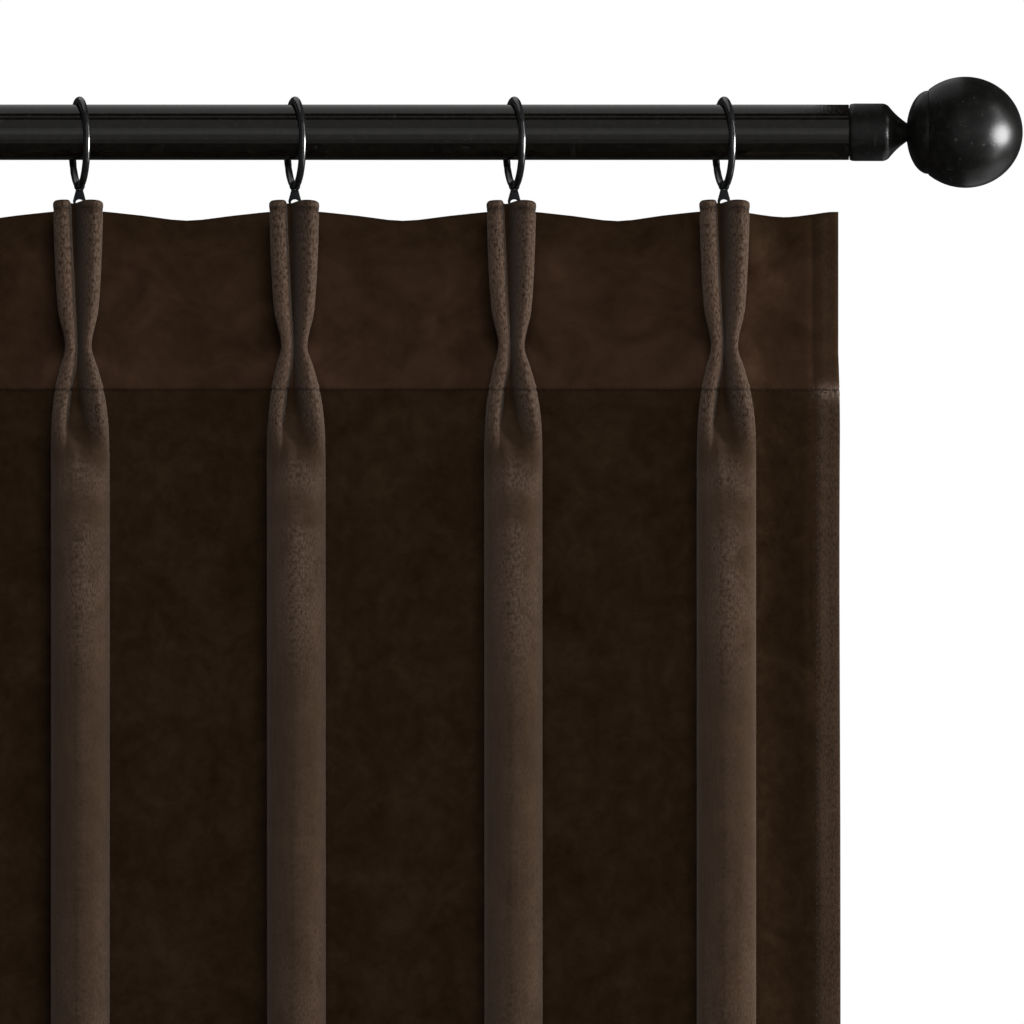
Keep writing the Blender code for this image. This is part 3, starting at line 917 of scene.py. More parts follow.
@dataclass(frozen=True)
class HalfPleat:
    """Half a pleat at one level, as (out, back) points in mm from its middle outwards."""

    fold: FoldLevel
    pleat: Pleat
    side: Side

    def finger(self) -> list[Pair]:
        """Half a two-finger section, from the valley to the waist."""
        fold = self.fold
        offset = self.side.value * fold.lean
        front = fold.front * self.pleat.deep
        width = fold.width * self.pleat.plump - offset
        made = [(0.0, fold.valley)]
        if self.side is Side.RIGHT:
            made += [(mix(fold.gap * SLOPE_FLOOR, width, out), mix(fold.valley, front, forward))
                     for out, forward in FINGER_SLOPE]
        else:
            radius = (width - fold.gap) / 2
            made += [(fold.gap * FLOOR_REACH, fold.valley - fold.gap * FLOOR_RISE),
                     (fold.gap, mix(fold.valley, front, 0.5))]
            made += [(fold.gap + radius * (1 + out), front + radius * back)
                     for out, back in FINGER_TIP]
        made.append((mix(width, fold.neck - offset, WAIST_IN),
                     mix(front, fold.back, FINGER_WAIST_BACK)))
        return [(offset + x, y) for x, y in made]

    def column(self) -> list[Pair]:
        """Half a round column's section with the same stations."""
        fold = self.fold
        front = fold.front * self.pleat.deep
        width = fold.width * self.pleat.plump
        reach = (fold.back - front) * COLUMN_DEPTH
        made = [(width * math.sin(t), front + reach * (1 - math.cos(t)))
                for t in map(math.radians, COLUMN_TURNS)]
        return made + [(mix(width, fold.neck, WAIST_IN),
                        mix(front + reach, fold.back, COLUMN_WAIST_BACK))]

    def with_root(self) -> list[Pair]:
        """The section between those two that the fold's split asks for, with its root."""
        fold = self.fold
        made = [(mix(c[0], f[0], fold.split), mix(c[1], f[1], fold.split))
                for f, c in zip(self.finger(), self.column())]
        return made + [(fold.neck, fold.back - ROOT_LEAD),
                       (fold.neck + ROOT_TURN[0], fold.back + ROOT_TURN[1])]

    def panel(self, reach: float, sag: float) -> list[Pair]:
        """The panel from beside the root out to its middle.

        Args:
            reach: how far out its middle is.
            sag: how much it bows.

        Returns:
            Its points.
        """
        start = self.fold.neck + ROOT_TURN[0]
        bow = self.fold.bow * sag
        first, second = [mix(self.fold.back, bow, share) for share in PANEL_BOWED]
        return [(start + PANEL_START, first), (mix(start, reach, PANEL_SECOND), second),
                (reach, bow)]

    def free_edge(self, tail: float, hem: float) -> list[Pair]:
        """The cloth from beside the last root out to its free side edge.

        Args:
            tail: how far out the edge is.
            hem: how wide the side hem is.

        Returns:
            Its points.
        """
        fold = self.fold
        first, second, flat = [mix(fold.back, fold.bow, share)
                               for share in (*TAIL_BOWED, HEM_BOWED)]
        return [(fold.neck + TAIL_START, first), (mix(fold.neck, tail, TAIL_SECOND), second),
                (tail - hem - HEM_LEAD, flat),
                (tail - hem * HEM_OUTSIDE, flat + fold.curl * HEM_CURLED),
                (tail, flat + fold.curl)]


@dataclass
class Cloth:
    """The curtain's one sheet of velvet with its heading, pleats and hems; sizes in mm.

    Its points and normals are rows by columns by 3. Each row has a drop, and each column
    its distance across the cloth in metres, its station and the pleat that owns it.
    """

    material: bpy.types.Material
    pitch: float = 99.0
    tail: float = 52.3
    top: float = 31.1
    seam: float = 117.5
    length: float = 2134.0
    flat_width: float = 1320.0
    side_hem: float = 11.0
    bottom_hem: float = 100.0
    thickness: float = 1.3
    sway_wave: float = 1.2
    sway_phase: float = 1.3
    sway_turns: float = 0.75
    patch_start: float = 187.0
    patch_step: float = 29.0
    seed: int = 11
    points: np.ndarray = field(init=False)
    normals: np.ndarray = field(init=False)
    drops: np.ndarray = field(init=False)
    across: np.ndarray = field(init=False)
    stations: np.ndarray = field(init=False)
    owners: np.ndarray = field(init=False)

    @property
    def bottom(self) -> float:
        """The bottom edge's drop."""
        return self.top + self.length

    @property
    def hem_seam(self) -> float:
        """The drop of the bottom hem's sewing."""
        return self.bottom - self.bottom_hem

    @property
    def u(self) -> np.ndarray:
        """Each column's distance across the cloth, in mm."""
        return self.across[None, :] / MM

    @property
    def edge(self) -> np.ndarray:
        """Each column's distance from the nearer side edge, in mm."""
        return np.minimum(self.u, self.u[0, -1] - self.u)

    def levels(self) -> np.ndarray:
        """The drops of the mesh's rows: close together where the cloth has detail."""
        hem = self.hem_seam
        return np.concatenate((
            self.top + np.array(TOP_ROWS),
            np.arange(self.top + HEADING_GAP, self.seam - HEADING_GAP, HEADING_STEP),
            self.seam + np.array(SEAM_ROWS),
            np.arange(self.seam + PINCH_GAP, FINE_END, PINCH_STEP),
            mix(FINE_END, hem - HEM_ROWS[-1],
                np.linspace(0, 1, COLUMN_ROWS) ** COLUMN_ROWS_POWER),
            hem + np.array(HEM_ROWS),
            np.linspace(hem + HEM_GAP, self.bottom - BOTTOM_GAP, 3),
            self.bottom - np.array(BOTTOM_ROWS)))

    def pleat_centre(self, index: int, fold: FoldLevel) -> float:
        """A pleat's middle: even at the heading, swaying near the hem.

        Args:
            index: the pleat.
            fold: the fold at one level.

        Returns:
            Its X in mm.
        """
        pleat = PLEATS[index]
        even = (index - (len(PLEATS) - 1) / 2) * self.pitch
        share = (max(0.0, fold.drop - self.seam) / self.length) ** 2
        phase = index * self.sway_phase
        wave = math.sin(share * math.tau * self.sway_turns + phase) - math.sin(phase)
        return even + pleat.shift + fold.drift + pleat.sway * share + wave * self.sway_wave

    def outward_half(self, index: int, side: Side,
                     fold: FoldLevel) -> list[tuple[float, float, float]]:
        """One side of a pleat with the cloth out to the next panel's middle or the edge.

        Args:
            index: the pleat.
            side: its half.
            fold: the fold at one level.

        Returns:
            The points in mm.
        """
        half = HalfPleat(fold, PLEATS[index], side)
        neighbour = index + side.value
        centre = self.pleat_centre(index, fold)
        if 0 <= neighbour < len(PLEATS):
            reach = abs(self.pleat_centre(neighbour, fold) - centre) / 2
            outer = half.panel(reach, PLEATS[min(index, neighbour)].sag)
            dips = PLEAT_EDGE_DIP + PANEL_EDGE_DIP
        else:
            outer = half.free_edge(self.tail, self.side_hem)
            dips = PLEAT_EDGE_DIP + TAIL_EDGE_DIP
        fade = max(0.0, 1.0 - (fold.drop - self.top) / (self.seam - self.top))
        return [(centre + side.value * x, y, -fold.drop - (dip - half.pleat.lift) * fade)
                for (x, y), dip in zip(half.with_root() + outer, dips)]

    def section(self, fold: FoldLevel) -> np.ndarray:
        """The whole section at one level.

        Args:
            fold: the fold there.

        Returns:
            Its points from the left edge to the right, in mm.
        """
        made: list[tuple[float, float, float]] = []
        for index in range(len(PLEATS)):
            left = self.outward_half(index, Side.LEFT, fold)
            right = self.outward_half(index, Side.RIGHT, fold)
            if index > 0:
                left.pop()
            made += left[::-1] + right[1:]
        return np.array(made)

    @staticmethod
    def columns() -> tuple[list[int], np.ndarray, np.ndarray]:
        """How each section is split.

        Returns:
            The steps between its stations, and each column's station, below 0 on a
            pleat's left, and pleat.
        """
        steps: list[int] = []
        stations: list[float] = []
        owners: list[int] = []
        last = len(PLEATS) - 1
        for index in range(len(PLEATS)):
            left = PLEAT_STEPS + (TAIL_STEPS if index == 0 else PANEL_STEPS)
            right = PLEAT_STEPS + (TAIL_STEPS if index == last else PANEL_STEPS)
            numbers = list(range(-len(left), 0)) + list(range(len(right)))
            for number, count in zip(numbers, left[::-1] + right):
                steps.append(count)
                stations += [number + i / count for i in range(count)]
                owners += [index] * count
        stations.append(float(len(PLEAT_STEPS + TAIL_STEPS)))
        owners.append(last)
        return steps, np.array(stations), np.array(owners)

    def shape(self) -> None:
        """Work out the sheet's middle surface, its normals and its coordinates."""
        self.drops = self.levels()
        steps, self.stations, self.owners = self.columns()
        self.points = MM * np.array([smooth_line(self.section(fold), steps)
                                     for fold in smooth_table(self.drops)])
        spans = np.linalg.norm(np.diff(self.points[MEASURED_ROW], axis=0), axis=1)
        self.across = np.concatenate(([0.0], np.cumsum(spans)))
        self.normals = self.find_normals()
        self.points += self.normals * (self.relief() * MM)[..., None]
        self.normals = self.find_normals()

    def find_normals(self) -> np.ndarray:
        """The surface's normals, towards the face's side."""
        made = np.cross(np.gradient(self.points, axis=0), np.gradient(self.points, axis=1))
        return made / np.linalg.norm(made, axis=2, keepdims=True)

    def folded(self) -> np.ndarray:
        """The creases' heights in mm."""
        rng = np.random.default_rng(self.seed)
        height = np.zeros((len(self.drops), len(self.stations)))
        for crease in CREASES:
            share = (self.drops[:, None] - crease.top) / (crease.bottom - crease.top)
            along = np.clip(share, 0, 1)
            fade = np.sqrt(along * np.clip(1 - share, 0, 1) * 4)
            for index in range(len(PLEATS)):
                move, scale, shift = rng.normal(0.0, 1.0, 3)
                own = (self.owners == index) & (np.sign(self.stations) == crease.side.value)
                line = (mix(crease.station, crease.end_station, along) + move * crease.jitter
                        + CREASE_WANDER * np.sin(share * CREASE_WAVE + shift * CREASE_SHIFT))
                away = (np.abs(self.stations) - line) / crease.width
                size = crease.height * (1 + CREASE_VARIES * scale)
                height += own * size * fade * np.exp(-away * away)
        return height

    def relief(self) -> np.ndarray:
        """Creases, long ripples, the seam and the hems as heights in mm."""
        rng = np.random.default_rng(self.seed + 1)
        drops, u, edge = self.drops[:, None], self.u, self.edge
        size = np.abs(self.stations)[None, :]
        height = self.folded()
        below = rise(drops, self.seam, self.seam + RIPPLE_REACH)
        panel = RIPPLE_HEIGHT * rise(size, *PANEL_FADE) * mix(RIPPLE_SHARE, 1.0, below)
        for _ in range(RIPPLES):
            wave, run, phase, lean = rng.uniform(RIPPLE_LOW, RIPPLE_HIGH)
            height += (panel * np.sin(u / wave * math.tau + drops * lean + phase)
                       * np.cos(drops / run * math.tau + phase * RIPPLE_LAG))
        fingers = (size > FINGER_STATIONS[0]) & (size < FINGER_STATIONS[1])
        height += fingers * TOP_GROOVE.over(drops - self.top)
        for line, share in ((self.seam, 1.0), (self.hem_seam, HEM_SEAM_SHARE)):
            height += share * (SEAM_LIP.over(drops - line) + SEAM_GROOVE.over(drops - line))
        inset = edge - self.side_hem * (1.0 + HEM_WIDENS * below)
        down, across = LUMPS_DOWN
        lumps = (LUMPS_ACROSS.at(drops, u * LUMPS_ACROSS_TURN)
                 * np.cos(drops * down + u * across)
                 * rise(edge - self.side_hem, *TACK_FADE))
        return (height + lumps * TACK_LUMPS.over(drops - self.seam)
                + HEM_GROOVE.over(inset) + HEM_RIDGE.over(inset))

    def wall(self) -> np.ndarray:
        """The sheet's thickness in mm: thinner at its edges, thicker at heading and hems."""
        drops = self.drops[:, None]
        border = np.minimum(self.edge, np.minimum(drops - self.top, self.bottom - drops))
        round_off = np.sqrt(np.clip(1 - (1 - rise(border, 0.0, WALL_ROUNDING)) ** 2,
                                    WALL_LEAST, 1))
        heading = rise(drops, self.seam, self.seam - LAYER_STEP)
        hem = rise(drops, self.hem_seam, self.hem_seam + LAYER_STEP)
        return self.thickness * (1 + HEADING_LAYER * heading + HEM_LAYER * hem) * round_off

    def masks(self) -> dict[str, np.ndarray]:
        """Crushed and patchy pile, combed pile with painted light, painted shade, and the heading's
        tone.

        Returns:
            The masks by name, rows by columns.
        """
        station = self.stations[None, :]
        drops = self.drops[:, None]
        from_top, from_seam = drops - self.top, drops - self.seam
        from_hem = self.edge - self.side_hem
        pleat = rise(np.abs(station), *PLEAT_FADE)
        finger = rise(drops, *FINGER_FADE)
        column = pleat * rise(drops, *COLUMN_FADE)
        slope = pleat * np.where(station > 0, rise(station, *RIGHT_SLOPE_FADE),
                                 rise(-station, *LEFT_SLOPE_FADE))
        side_hem = rise(from_hem, *SIDE_HEM_FADE)
        below = rise(from_seam, *BELOW_SEAM_FADE)
        tack = side_hem * TACK.over(from_seam)
        crush = np.maximum(slope * finger * FINGER_CRUSH, column * COLUMN_CRUSH)
        crush = np.maximum(crush, side_hem * mix(*HEM_CRUSH, below)) + TACK_CRUSH * tack
        turns = (drops - self.patch_start) / self.patch_step * math.tau
        turns = turns + PATCH_WAVE * np.sin(station * PATCH_ACROSS + drops * PATCH_DOWN)
        rows = np.clip(PATCH_MIDDLE + PATCH_SWING * np.cos(turns), PATCH_LEAST, 1)
        # A painted highlight in lumps along the side hem's ridge below the seam.
        ridge = (below * PAINTED_RIDGE_HIGHLIGHT.over(from_hem)
                 * mix(*RIDGE_LIMITS, RIDGE_LUMPS.at(drops)))
        # The heading's tone, with painted light on crease ridges and painted shade in the troughs.
        heading = (rise(from_seam, *ABOVE_SEAM_FADE)
                   * np.maximum(rise(from_top, *HEADING_FADE), HEADING_LEAST)
                   * np.clip(1.0 + HEADING_CREASE_LIGHT * self.folded(), *HEADING_LIMITS)
                   * (1 - HEADING_HEMMED * side_hem))
        # Painted shade: the side hem's line and the side hem, its inner line, the finger valley,
        # the seams, the top stitching's groove and the top edge.
        sewn = [HEM_SHADE.over(from_hem) * mix(*HEM_LINE_SHADE, below),
                side_hem * mix(*SIDE_HEM_SHADE, below) * (1 - tack),
                INNER_HEM_SHADE.over(from_hem) * below, VALLEY_SHADE.over(station) * finger,
                SEAM_SHADE.over(from_seam), SEAM_SHADE.over(drops - self.hem_seam),
                TOP_SHADE.over(from_top) * slope, RIM_SHADE.over(from_top)]
        return {"crush": crush,
                "patchy": column * rows * np.interp(station, *PATCHY),
                "heading": heading,
                # painted shade
                "sewn": np.maximum.reduce(np.broadcast_arrays(*sewn)),
                # painted light on the columns, lighter pile at the tack and the hem ridge's painted
                # highlight
                "combed": np.maximum(column * np.interp(station, *COLUMN_PAINTED_LIGHT),
                                     TACK_COMBED * tack + ridge)}

    def build(self) -> bpy.types.Object:
        """Make the cloth as one closed sheet."""
        self.shape()
        half = (self.wall() * MM / 2)[..., None] * self.normals
        numbers = np.arange(half[..., 0].size).reshape(half.shape[:2])
        rim = np.concatenate((numbers[0, :-1], numbers[:-1, -1], numbers[-1, :0:-1],
                              numbers[:0:-1, 0]))
        following = np.roll(rim, -1)
        sides = np.stack((following, rim, rim + numbers.size, following + numbers.size), axis=-1)
        faces = np.concatenate((grid_quads(numbers), grid_quads(numbers + numbers.size)[:, ::-1],
                                sides[:, ::-1]))
        mesh = make_mesh(np.stack((self.points + half, self.points - half)), faces)
        self.write_uv(mesh)
        for name, values in self.masks().items():
            layer = mesh.attributes.new(name, "FLOAT", "POINT")
            layer.data.foreach_set("value", np.tile(values.ravel(), 2).astype(np.float32))
        mesh.validate()
        return add_piece("curtain_cloth", mesh, self.material, Slot.VELVET, "curtain")

    def write_uv(self, mesh: bpy.types.Mesh) -> None:
        """Give the mesh a UV map of metres across and metres down.

        Args:
            mesh: the cloth's mesh, with its face's vertices and then its back's.
        """
        flat = np.stack(np.meshgrid(self.across, self.drops * MM), axis=-1)
        both = np.tile(flat.reshape(-1, 2), (2, 1))
        corners = np.zeros(len(mesh.loops), dtype=np.int32)
        mesh.loops.foreach_get("vertex_index", corners)
        layer = mesh.uv_layers.new(name="cloth")
        layer.data.foreach_set("uv", both[corners].astype(np.float32).ravel())

    def face_line(self, drop: float, first: int, last: int, proud: float) -> np.ndarray:
        """A line along the cloth's face at one level.

        Args:
            drop: the level, in mm.
            first: the first column.
            last: the column after the last.
            proud: how far in front of the cloth's face, in mm.

        Returns:
            The line's points.
        """
        row = int(np.clip(np.searchsorted(self.drops, drop) - 1, 0, len(self.drops) - 2))
        share = (drop - self.drops[row]) / (self.drops[row + 1] - self.drops[row])
        middle, normal, wall = [mix(values[row], values[row + 1], share)[first:last]
                                for values in (self.points, self.normals, self.wall())]
        return middle + normal * (wall[:, None] / 2 + proud) * MM

    def edge_line(self, column: int, first: float, last: float, proud: float) -> np.ndarray:
        """A line down the cloth's face along one column.

        Args:
            column: the column.
            first: the drop where it starts, in mm.
            last: the drop where it ends, in mm.
            proud: how far in front of the cloth's face, in mm.

        Returns:
            The line's points.
        """
        rows = (self.drops >= first) & (self.drops <= last)
        wall = self.wall()[rows, column, None]
        return self.points[rows, column] + self.normals[rows, column] * (wall / 2 + proud) * MM


# ---- Stitching ----


@dataclass(frozen=True)
class Stitch:
    """One kind of stitch, in mm: from one to the next, its length and its thread's radius."""

    pitch: float
    length: float
    radius: float


# How much smaller and bigger than its kind a stitch may be, along its own axes.
STITCH_VARIES = ((0.85, 0.9, 0.9), (1.1, 1.1, 1.1))
STITCH_FACETS = (6, 5)
HEADING_STITCH = Stitch(3.1, 2.5, 0.24)
TOP_STITCH = Stitch(1.9, 1.3, 0.22)
SIDE_STITCH = Stitch(3.2, 2.4, 0.2)
HEM_STITCH = Stitch(3.4, 2.6, 0.24)
TACK_STITCH = Stitch(2.1, 1.5, 0.22)


def stitch_group() -> bpy.types.NodeTree:
    """Geometry Nodes that set stitches along a line.

    Returns:
        The tree, with inputs for the pitch, the stitch's length, its thread's radius and
        its material.
    """
    group = bpy.data.node_groups.new("stitch_row", "GeometryNodeTree")
    for name, kind in (("Geometry", "Geometry"), ("Pitch", "Float"), ("Stitch Length", "Float"),
                       ("Thread Radius", "Float"), ("Thread", "Material")):
        group.interface.new_socket(name, in_out="INPUT", socket_type=f"NodeSocket{kind}")
    group.interface.new_socket("Geometry", in_out="OUTPUT", socket_type="NodeSocketGeometry")
    tree = Tree(group)
    given = tree.node("NodeGroupInput")
    radius = given.beside("Thread Radius")
    line = tree.node("GeometryNodeMeshToCurve", inputs={"Mesh": given})
    spots = tree.node("GeometryNodeCurveToPoints", {"mode": "LENGTH"},
                      {"Curve": line, "Length": given.beside("Pitch")})
    ball = tree.node("GeometryNodeMeshUVSphere", inputs=dict(
        zip(("Segments", "Rings", "Radius"), (*STITCH_FACETS, 1.0))))
    size = tree.node("ShaderNodeCombineXYZ", inputs={
        "X": radius, "Y": radius, "Z": given.beside("Stitch Length") * 0.5})
    stitch = tree.node("GeometryNodeTransform", inputs={"Geometry": ball, "Scale": size})
    wobble = tree.node("FunctionNodeRandomValue", {"data_type": "FLOAT_VECTOR"},
                       {0: STITCH_VARIES[0], 1: STITCH_VARIES[1], "Seed": 5})
    row = tree.node("GeometryNodeInstanceOnPoints", inputs={
        "Points": spots, "Instance": stitch, "Rotation": spots.beside("Rotation"),
        "Scale": wobble})
    real = tree.node("GeometryNodeRealizeInstances", inputs={"Geometry": row})
    dyed = tree.node("GeometryNodeSetMaterial",
                     inputs={"Geometry": real, "Material": given.beside("Thread")})
    tree.feed(group.nodes.new("NodeGroupOutput").inputs["Geometry"], dyed)
    return group


@dataclass
class Sewing:
    """Rows of stitches on the cloth; lengths in mm.

    A row lies below the top edge or its seam, or inside the side hem's line, and its
    thread stands proud of the face, or is pulled into it where that is below 0.
    """

    group: bpy.types.NodeTree
    thread: bpy.types.Material
    top_drop: float = 3.4
    top_stations: Pair = (2.9, 7.2)
    top_proud: float = 0.04
    seam_drop: float = 0.3
    seam_proud: float = -0.12
    hem_proud: float = -0.05
    side_inset: float = 0.3
    side_ends: Pair = (3.0, 4.0)
    tack_drops: Pair = (1.4, 3.1)
    tack_proud: float = -0.10
    end_columns: int = 2

    def sew(self, name: str, kind: Stitch, lines: Sequence[np.ndarray]) -> bpy.types.Object:
        """Set stitches along lines and make them one plain mesh.

        Args:
            name: the piece's name.
            kind: the stitch.
            lines: each line's points, in metres.

        Returns:
            The stitches.
        """
        points: list[Sequence[float]] = []
        edges: list[tuple[int, int]] = []
        for line in lines:
            start = len(points)
            points += line.tolist()
            edges += [(i, i + 1) for i in range(start, len(points) - 1)]
        path = bpy.data.meshes.new(name + "_path")
        path.from_pydata(points, edges, [])
        guide = bpy.data.objects.new(name + "_path", path)
        modifier = guide.modifiers.new("Stitches", "NODES")
        modifier.node_group = self.group
        values = {"Pitch": kind.pitch * MM, "Stitch Length": kind.length * MM,
                  "Thread Radius": kind.radius * MM, "Thread": self.thread}
        for item in self.group.interface.items_tree:
            if item.name in values:
                modifier[item.identifier] = values[item.name]
        mesh = take_mesh(guide)
        mesh.shade_smooth()
        return add_piece(name, mesh, self.thread, Slot.VELVET)

    def sew_all(self, cloth: Cloth) -> list[bpy.types.Object]:
        """Sew the heading seam, the pleats' top edges, the side hems, the hem and the tack.

        Args:
            cloth: the finished cloth.

        Returns:
            The rows of stitches.
        """
        first, last = self.end_columns, len(cloth.across) - self.end_columns
        size = np.abs(cloth.stations)
        inner, outer = self.top_stations
        tops = []
        for index in range(len(PLEATS)):
            for side in Side:
                own = np.flatnonzero((cloth.owners == index) & (size >= inner) & (size <= outer)
                                     & (np.sign(cloth.stations) == side.value))
                tops.append(cloth.face_line(cloth.top + self.top_drop, own[0], own[-1] + 1,
                                            self.top_proud))
        inset = (cloth.side_hem + self.side_inset) * MM
        left, right = [int(np.searchsorted(cloth.across, place))
                       for place in (inset, cloth.across[-1] - inset)]
        start, end = cloth.top + self.side_ends[0], cloth.bottom - self.side_ends[1]
        sides = [cloth.edge_line(column, start, end, self.seam_proud)
                 for column in (left, right)]
        tack = [cloth.face_line(cloth.seam + drop, right - 1, last, self.tack_proud)
                for drop in self.tack_drops]
        heading = cloth.face_line(cloth.seam + self.seam_drop, first, last, self.seam_proud)
        hem = cloth.face_line(cloth.hem_seam + self.seam_drop, first, last, self.hem_proud)
        return [self.sew(*row) for row in (
            ("heading_stitches", HEADING_STITCH, [heading]),
            ("pleat_top_stitches", TOP_STITCH, tops),
            ("side_hem_stitches", SIDE_STITCH, sides),
            ("bottom_hem_stitches", HEM_STITCH, [hem]),
            ("back_tack_stitches", TACK_STITCH, tack))]


# ---- Metalwork ----


@dataclass
class Rod:
    """The rod's tube, sized from its CAD node; lengths in mm."""

    material: bpy.types.Material
    sides: int = 128
    spans: int = 11
    wall: float = 1.2
    edge: float = 0.25
    sharp: float = 40.0

    def build(self) -> bpy.types.Object:
        """Make the tube with softened rims."""
        low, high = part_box("rod")
        radius = high[2]
        length = high[0] - low[0]
        inner = radius - self.wall * MM
        soft = self.edge * MM
        line = [(radius - soft, 0.0)]
        line += [(radius, x) for x in np.linspace(soft, length - soft, self.spans + 1)]
        line += [(radius - soft, length), (inner, length), (inner, 0.0)]
        turn = np.linspace(0, math.tau, self.sides, endpoint=False)
        points = np.array([[(low[0] + x, -r * math.sin(t), r * math.cos(t)) for t in turn]
                           for r, x in line])
        mesh = wrapped_mesh(points)
        mesh.set_sharp_from_angle(angle=math.radians(self.sharp))
        return add_piece("rod_tube", mesh, self.material, Slot.ROD, "rod")


@dataclass
class Finial:
    """A collar and a ball for one end of the rod; lengths in mm and angles in degrees."""

    side: Side
    material: bpy.types.Material
    sides: int = 96
    merge: float = 0.01
    sharp: float = 28.0
    collar_length: float = 15.0
    lip: tuple[Pair, ...] = ((0.0, 2.8), (0.12, 1.4), (0.4, 0.55), (0.8, 0.3))
    shoulder_bend: float = 4.8
    shoulder_turn: float = 43.0
    neck_radius: float = 4.45
    neck_start: float = 26.2
    neck_end: float = 26.5
    neck_chamfer: float = 0.2
    cove: float = 0.3
    spigot_inset: float = 1.6
    spigot_length: float = 20.0
    seat_gap: float = 0.3
    stud_radius: float = 3.0
    stud_length: float = 9.0
    ball_centre: float = 53.3
    ball_joint: float = 16.9
    cap_step: float = 0.4
    joint_groove: float = 0.12
    neck_gap: float = 0.05
    cove_points: int = 10
    shoulder_points: int = 13
    shell_points: int = 44
    cap_points: int = 16
    shell_lip: float = 0.005
    cap_lip: float = 0.012

    def box(self, piece: str) -> tuple[str, float, float]:
        """A CAD node on this side.

        Args:
            piece: collar or ball.

        Returns:
            Its name, its radius in mm and how far its outer end is from the rod's, in mm.
        """
        node = f"{piece}_{self.side.name.lower()}"
        low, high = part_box(node)
        tip = high[0] if self.side is Side.RIGHT else low[0]
        return node, high[2] / MM, self.side.value * (tip - self.rod_end()) / MM

    def rod_end(self) -> float:
        """X of the rod's end on this side, in metres."""
        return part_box("rod")[1 if self.side is Side.RIGHT else 0][0]

    def turn(self, node: str, line: Sequence[Pair]) -> bpy.types.Object:
        """Turn a profile about the rod's axis.

        Args:
            node: the CAD node that it stands for.
            line: (radius, distance out) points in mm from one end on the axis to the other.

        Returns:
            The piece.
        """
        shape = bmesh.new()
        start = self.rod_end()
        spots = [shape.verts.new((start + self.side.value * out * MM, 0, radius * MM))
                 for radius, out in line]
        edges = [shape.edges.new(pair) for pair in zip(spots, spots[1:])]
        bmesh.ops.spin(shape, geom=spots + edges, cent=(0, 0, 0), axis=(1, 0, 0),
                       dvec=(0, 0, 0), angle=math.tau, steps=self.sides, use_merge=True)
        mesh = outward_mesh(shape, self.merge * MM, self.sharp)
        return add_piece(node + "_fine", mesh, self.material, Slot.GLOSS, node)

    def build_collar(self) -> bpy.types.Object:
        """Make the collar with a soft lip, a rounded shoulder and a coned neck."""
        node, radius, _ = self.box("collar")
        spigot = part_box("rod")[1][2] / MM - self.spigot_inset
        neck, end, bend = self.neck_radius, self.neck_end, self.shoulder_bend
        line = [(0.0, end + self.stud_length), (self.stud_radius, end + self.stud_length),
                (self.stud_radius, end), (neck - self.neck_chamfer, end),
                (neck, end - self.neck_chamfer)]
        turn = math.radians(self.shoulder_turn)
        shoulder = radius - bend * (1 - math.cos(turn))
        shoulder_end = self.collar_length + bend * math.sin(turn)
        for share in np.linspace(0, 1, self.cove_points):
            cove = self.cove * math.sin(math.pi * share)
            line.append((mix(neck, shoulder, share) - cove,
                         mix(self.neck_start, shoulder_end, share) - cove))
        line += [(radius - bend * (1 - math.cos(part)), self.collar_length + bend * math.sin(part))
                 for part in np.linspace(turn, 0, self.shoulder_points)[1:]]
        line += [(radius - inset, out) for inset, out in self.lip]
        line += [(spigot, self.lip[-1][1]), (spigot, -self.spigot_length),
                 (0.0, -self.spigot_length)]
        return self.turn(node, line)

    def build_ball(self) -> bpy.types.Object:
        """Make the ball: a long shell and a flatter cap that meet at a groove."""
        node, radius, tip = self.box("ball")
        half_length = tip - self.ball_centre
        joint = math.acos(self.ball_joint / half_length)
        cap = radius * math.sin(joint) - self.cap_step
        seat = self.neck_end + self.neck_gap
        mouth = math.asin((self.neck_radius + self.neck_gap) / cap)
        inner = self.ball_centre - self.ball_joint
        cap_length = (inner - seat) / math.cos(mouth)
        line = [(0.0, self.ball_centre + half_length)]
        turns = np.linspace(0.0, math.pi - joint - self.shell_lip, self.shell_points)
        line += [(radius * math.sin(turn), self.ball_centre + half_length * math.cos(turn))
                 for turn in turns[1:]]
        line.append((cap - self.joint_groove, inner))
        line += [(cap * math.sin(turn), inner - cap_length * math.cos(turn))
                 for turn in np.linspace(math.pi / 2 - self.cap_lip, mouth, self.cap_points)]
        bore = self.stud_radius + self.seat_gap
        line += [(bore, seat), (bore, seat + self.stud_length), (0.0, seat + self.stud_length)]
        return self.turn(node, line)


@dataclass
class Ring:
    """A wire ring on the rod, sized from its CAD node; mm and degrees."""

    number: int
    material: bpy.types.Material
    wire: float = 1.65
    turn: float = 11.0
    steps: int = 96
    wire_sides: int = 18
    joint: float = 215.0
    joint_half: float = 2.2
    joint_depth: float = 0.10

    def build(self) -> bpy.types.Object:
        """Make the ring with a shallow butt joint at its back."""
        node = f"ring_{self.number}"
        low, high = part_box(node)
        radius = (high[2] - low[2]) / 2 / MM - self.wire
        way = np.linspace(0, math.tau, self.steps, endpoint=False)[:, None]
        lap = np.linspace(0, math.tau, self.wire_sides, endpoint=False)
        away = (np.degrees(way) - self.joint) / self.joint_half
        wire = self.wire * (1.0 - self.joint_depth * np.exp(-away ** 2))
        out = radius + wire * np.cos(lap)
        points = np.stack((wire * np.sin(lap), -out * np.cos(way), out * np.sin(way)), axis=-1)
        spin = np.array(Matrix.Rotation(math.radians(self.turn), 3, "Z"))
        mesh = wrapped_mesh(np.array((low + high) / 2) + points @ spin.T * MM)
        return add_piece(node + "_wire", mesh, self.material, Slot.RING, node)


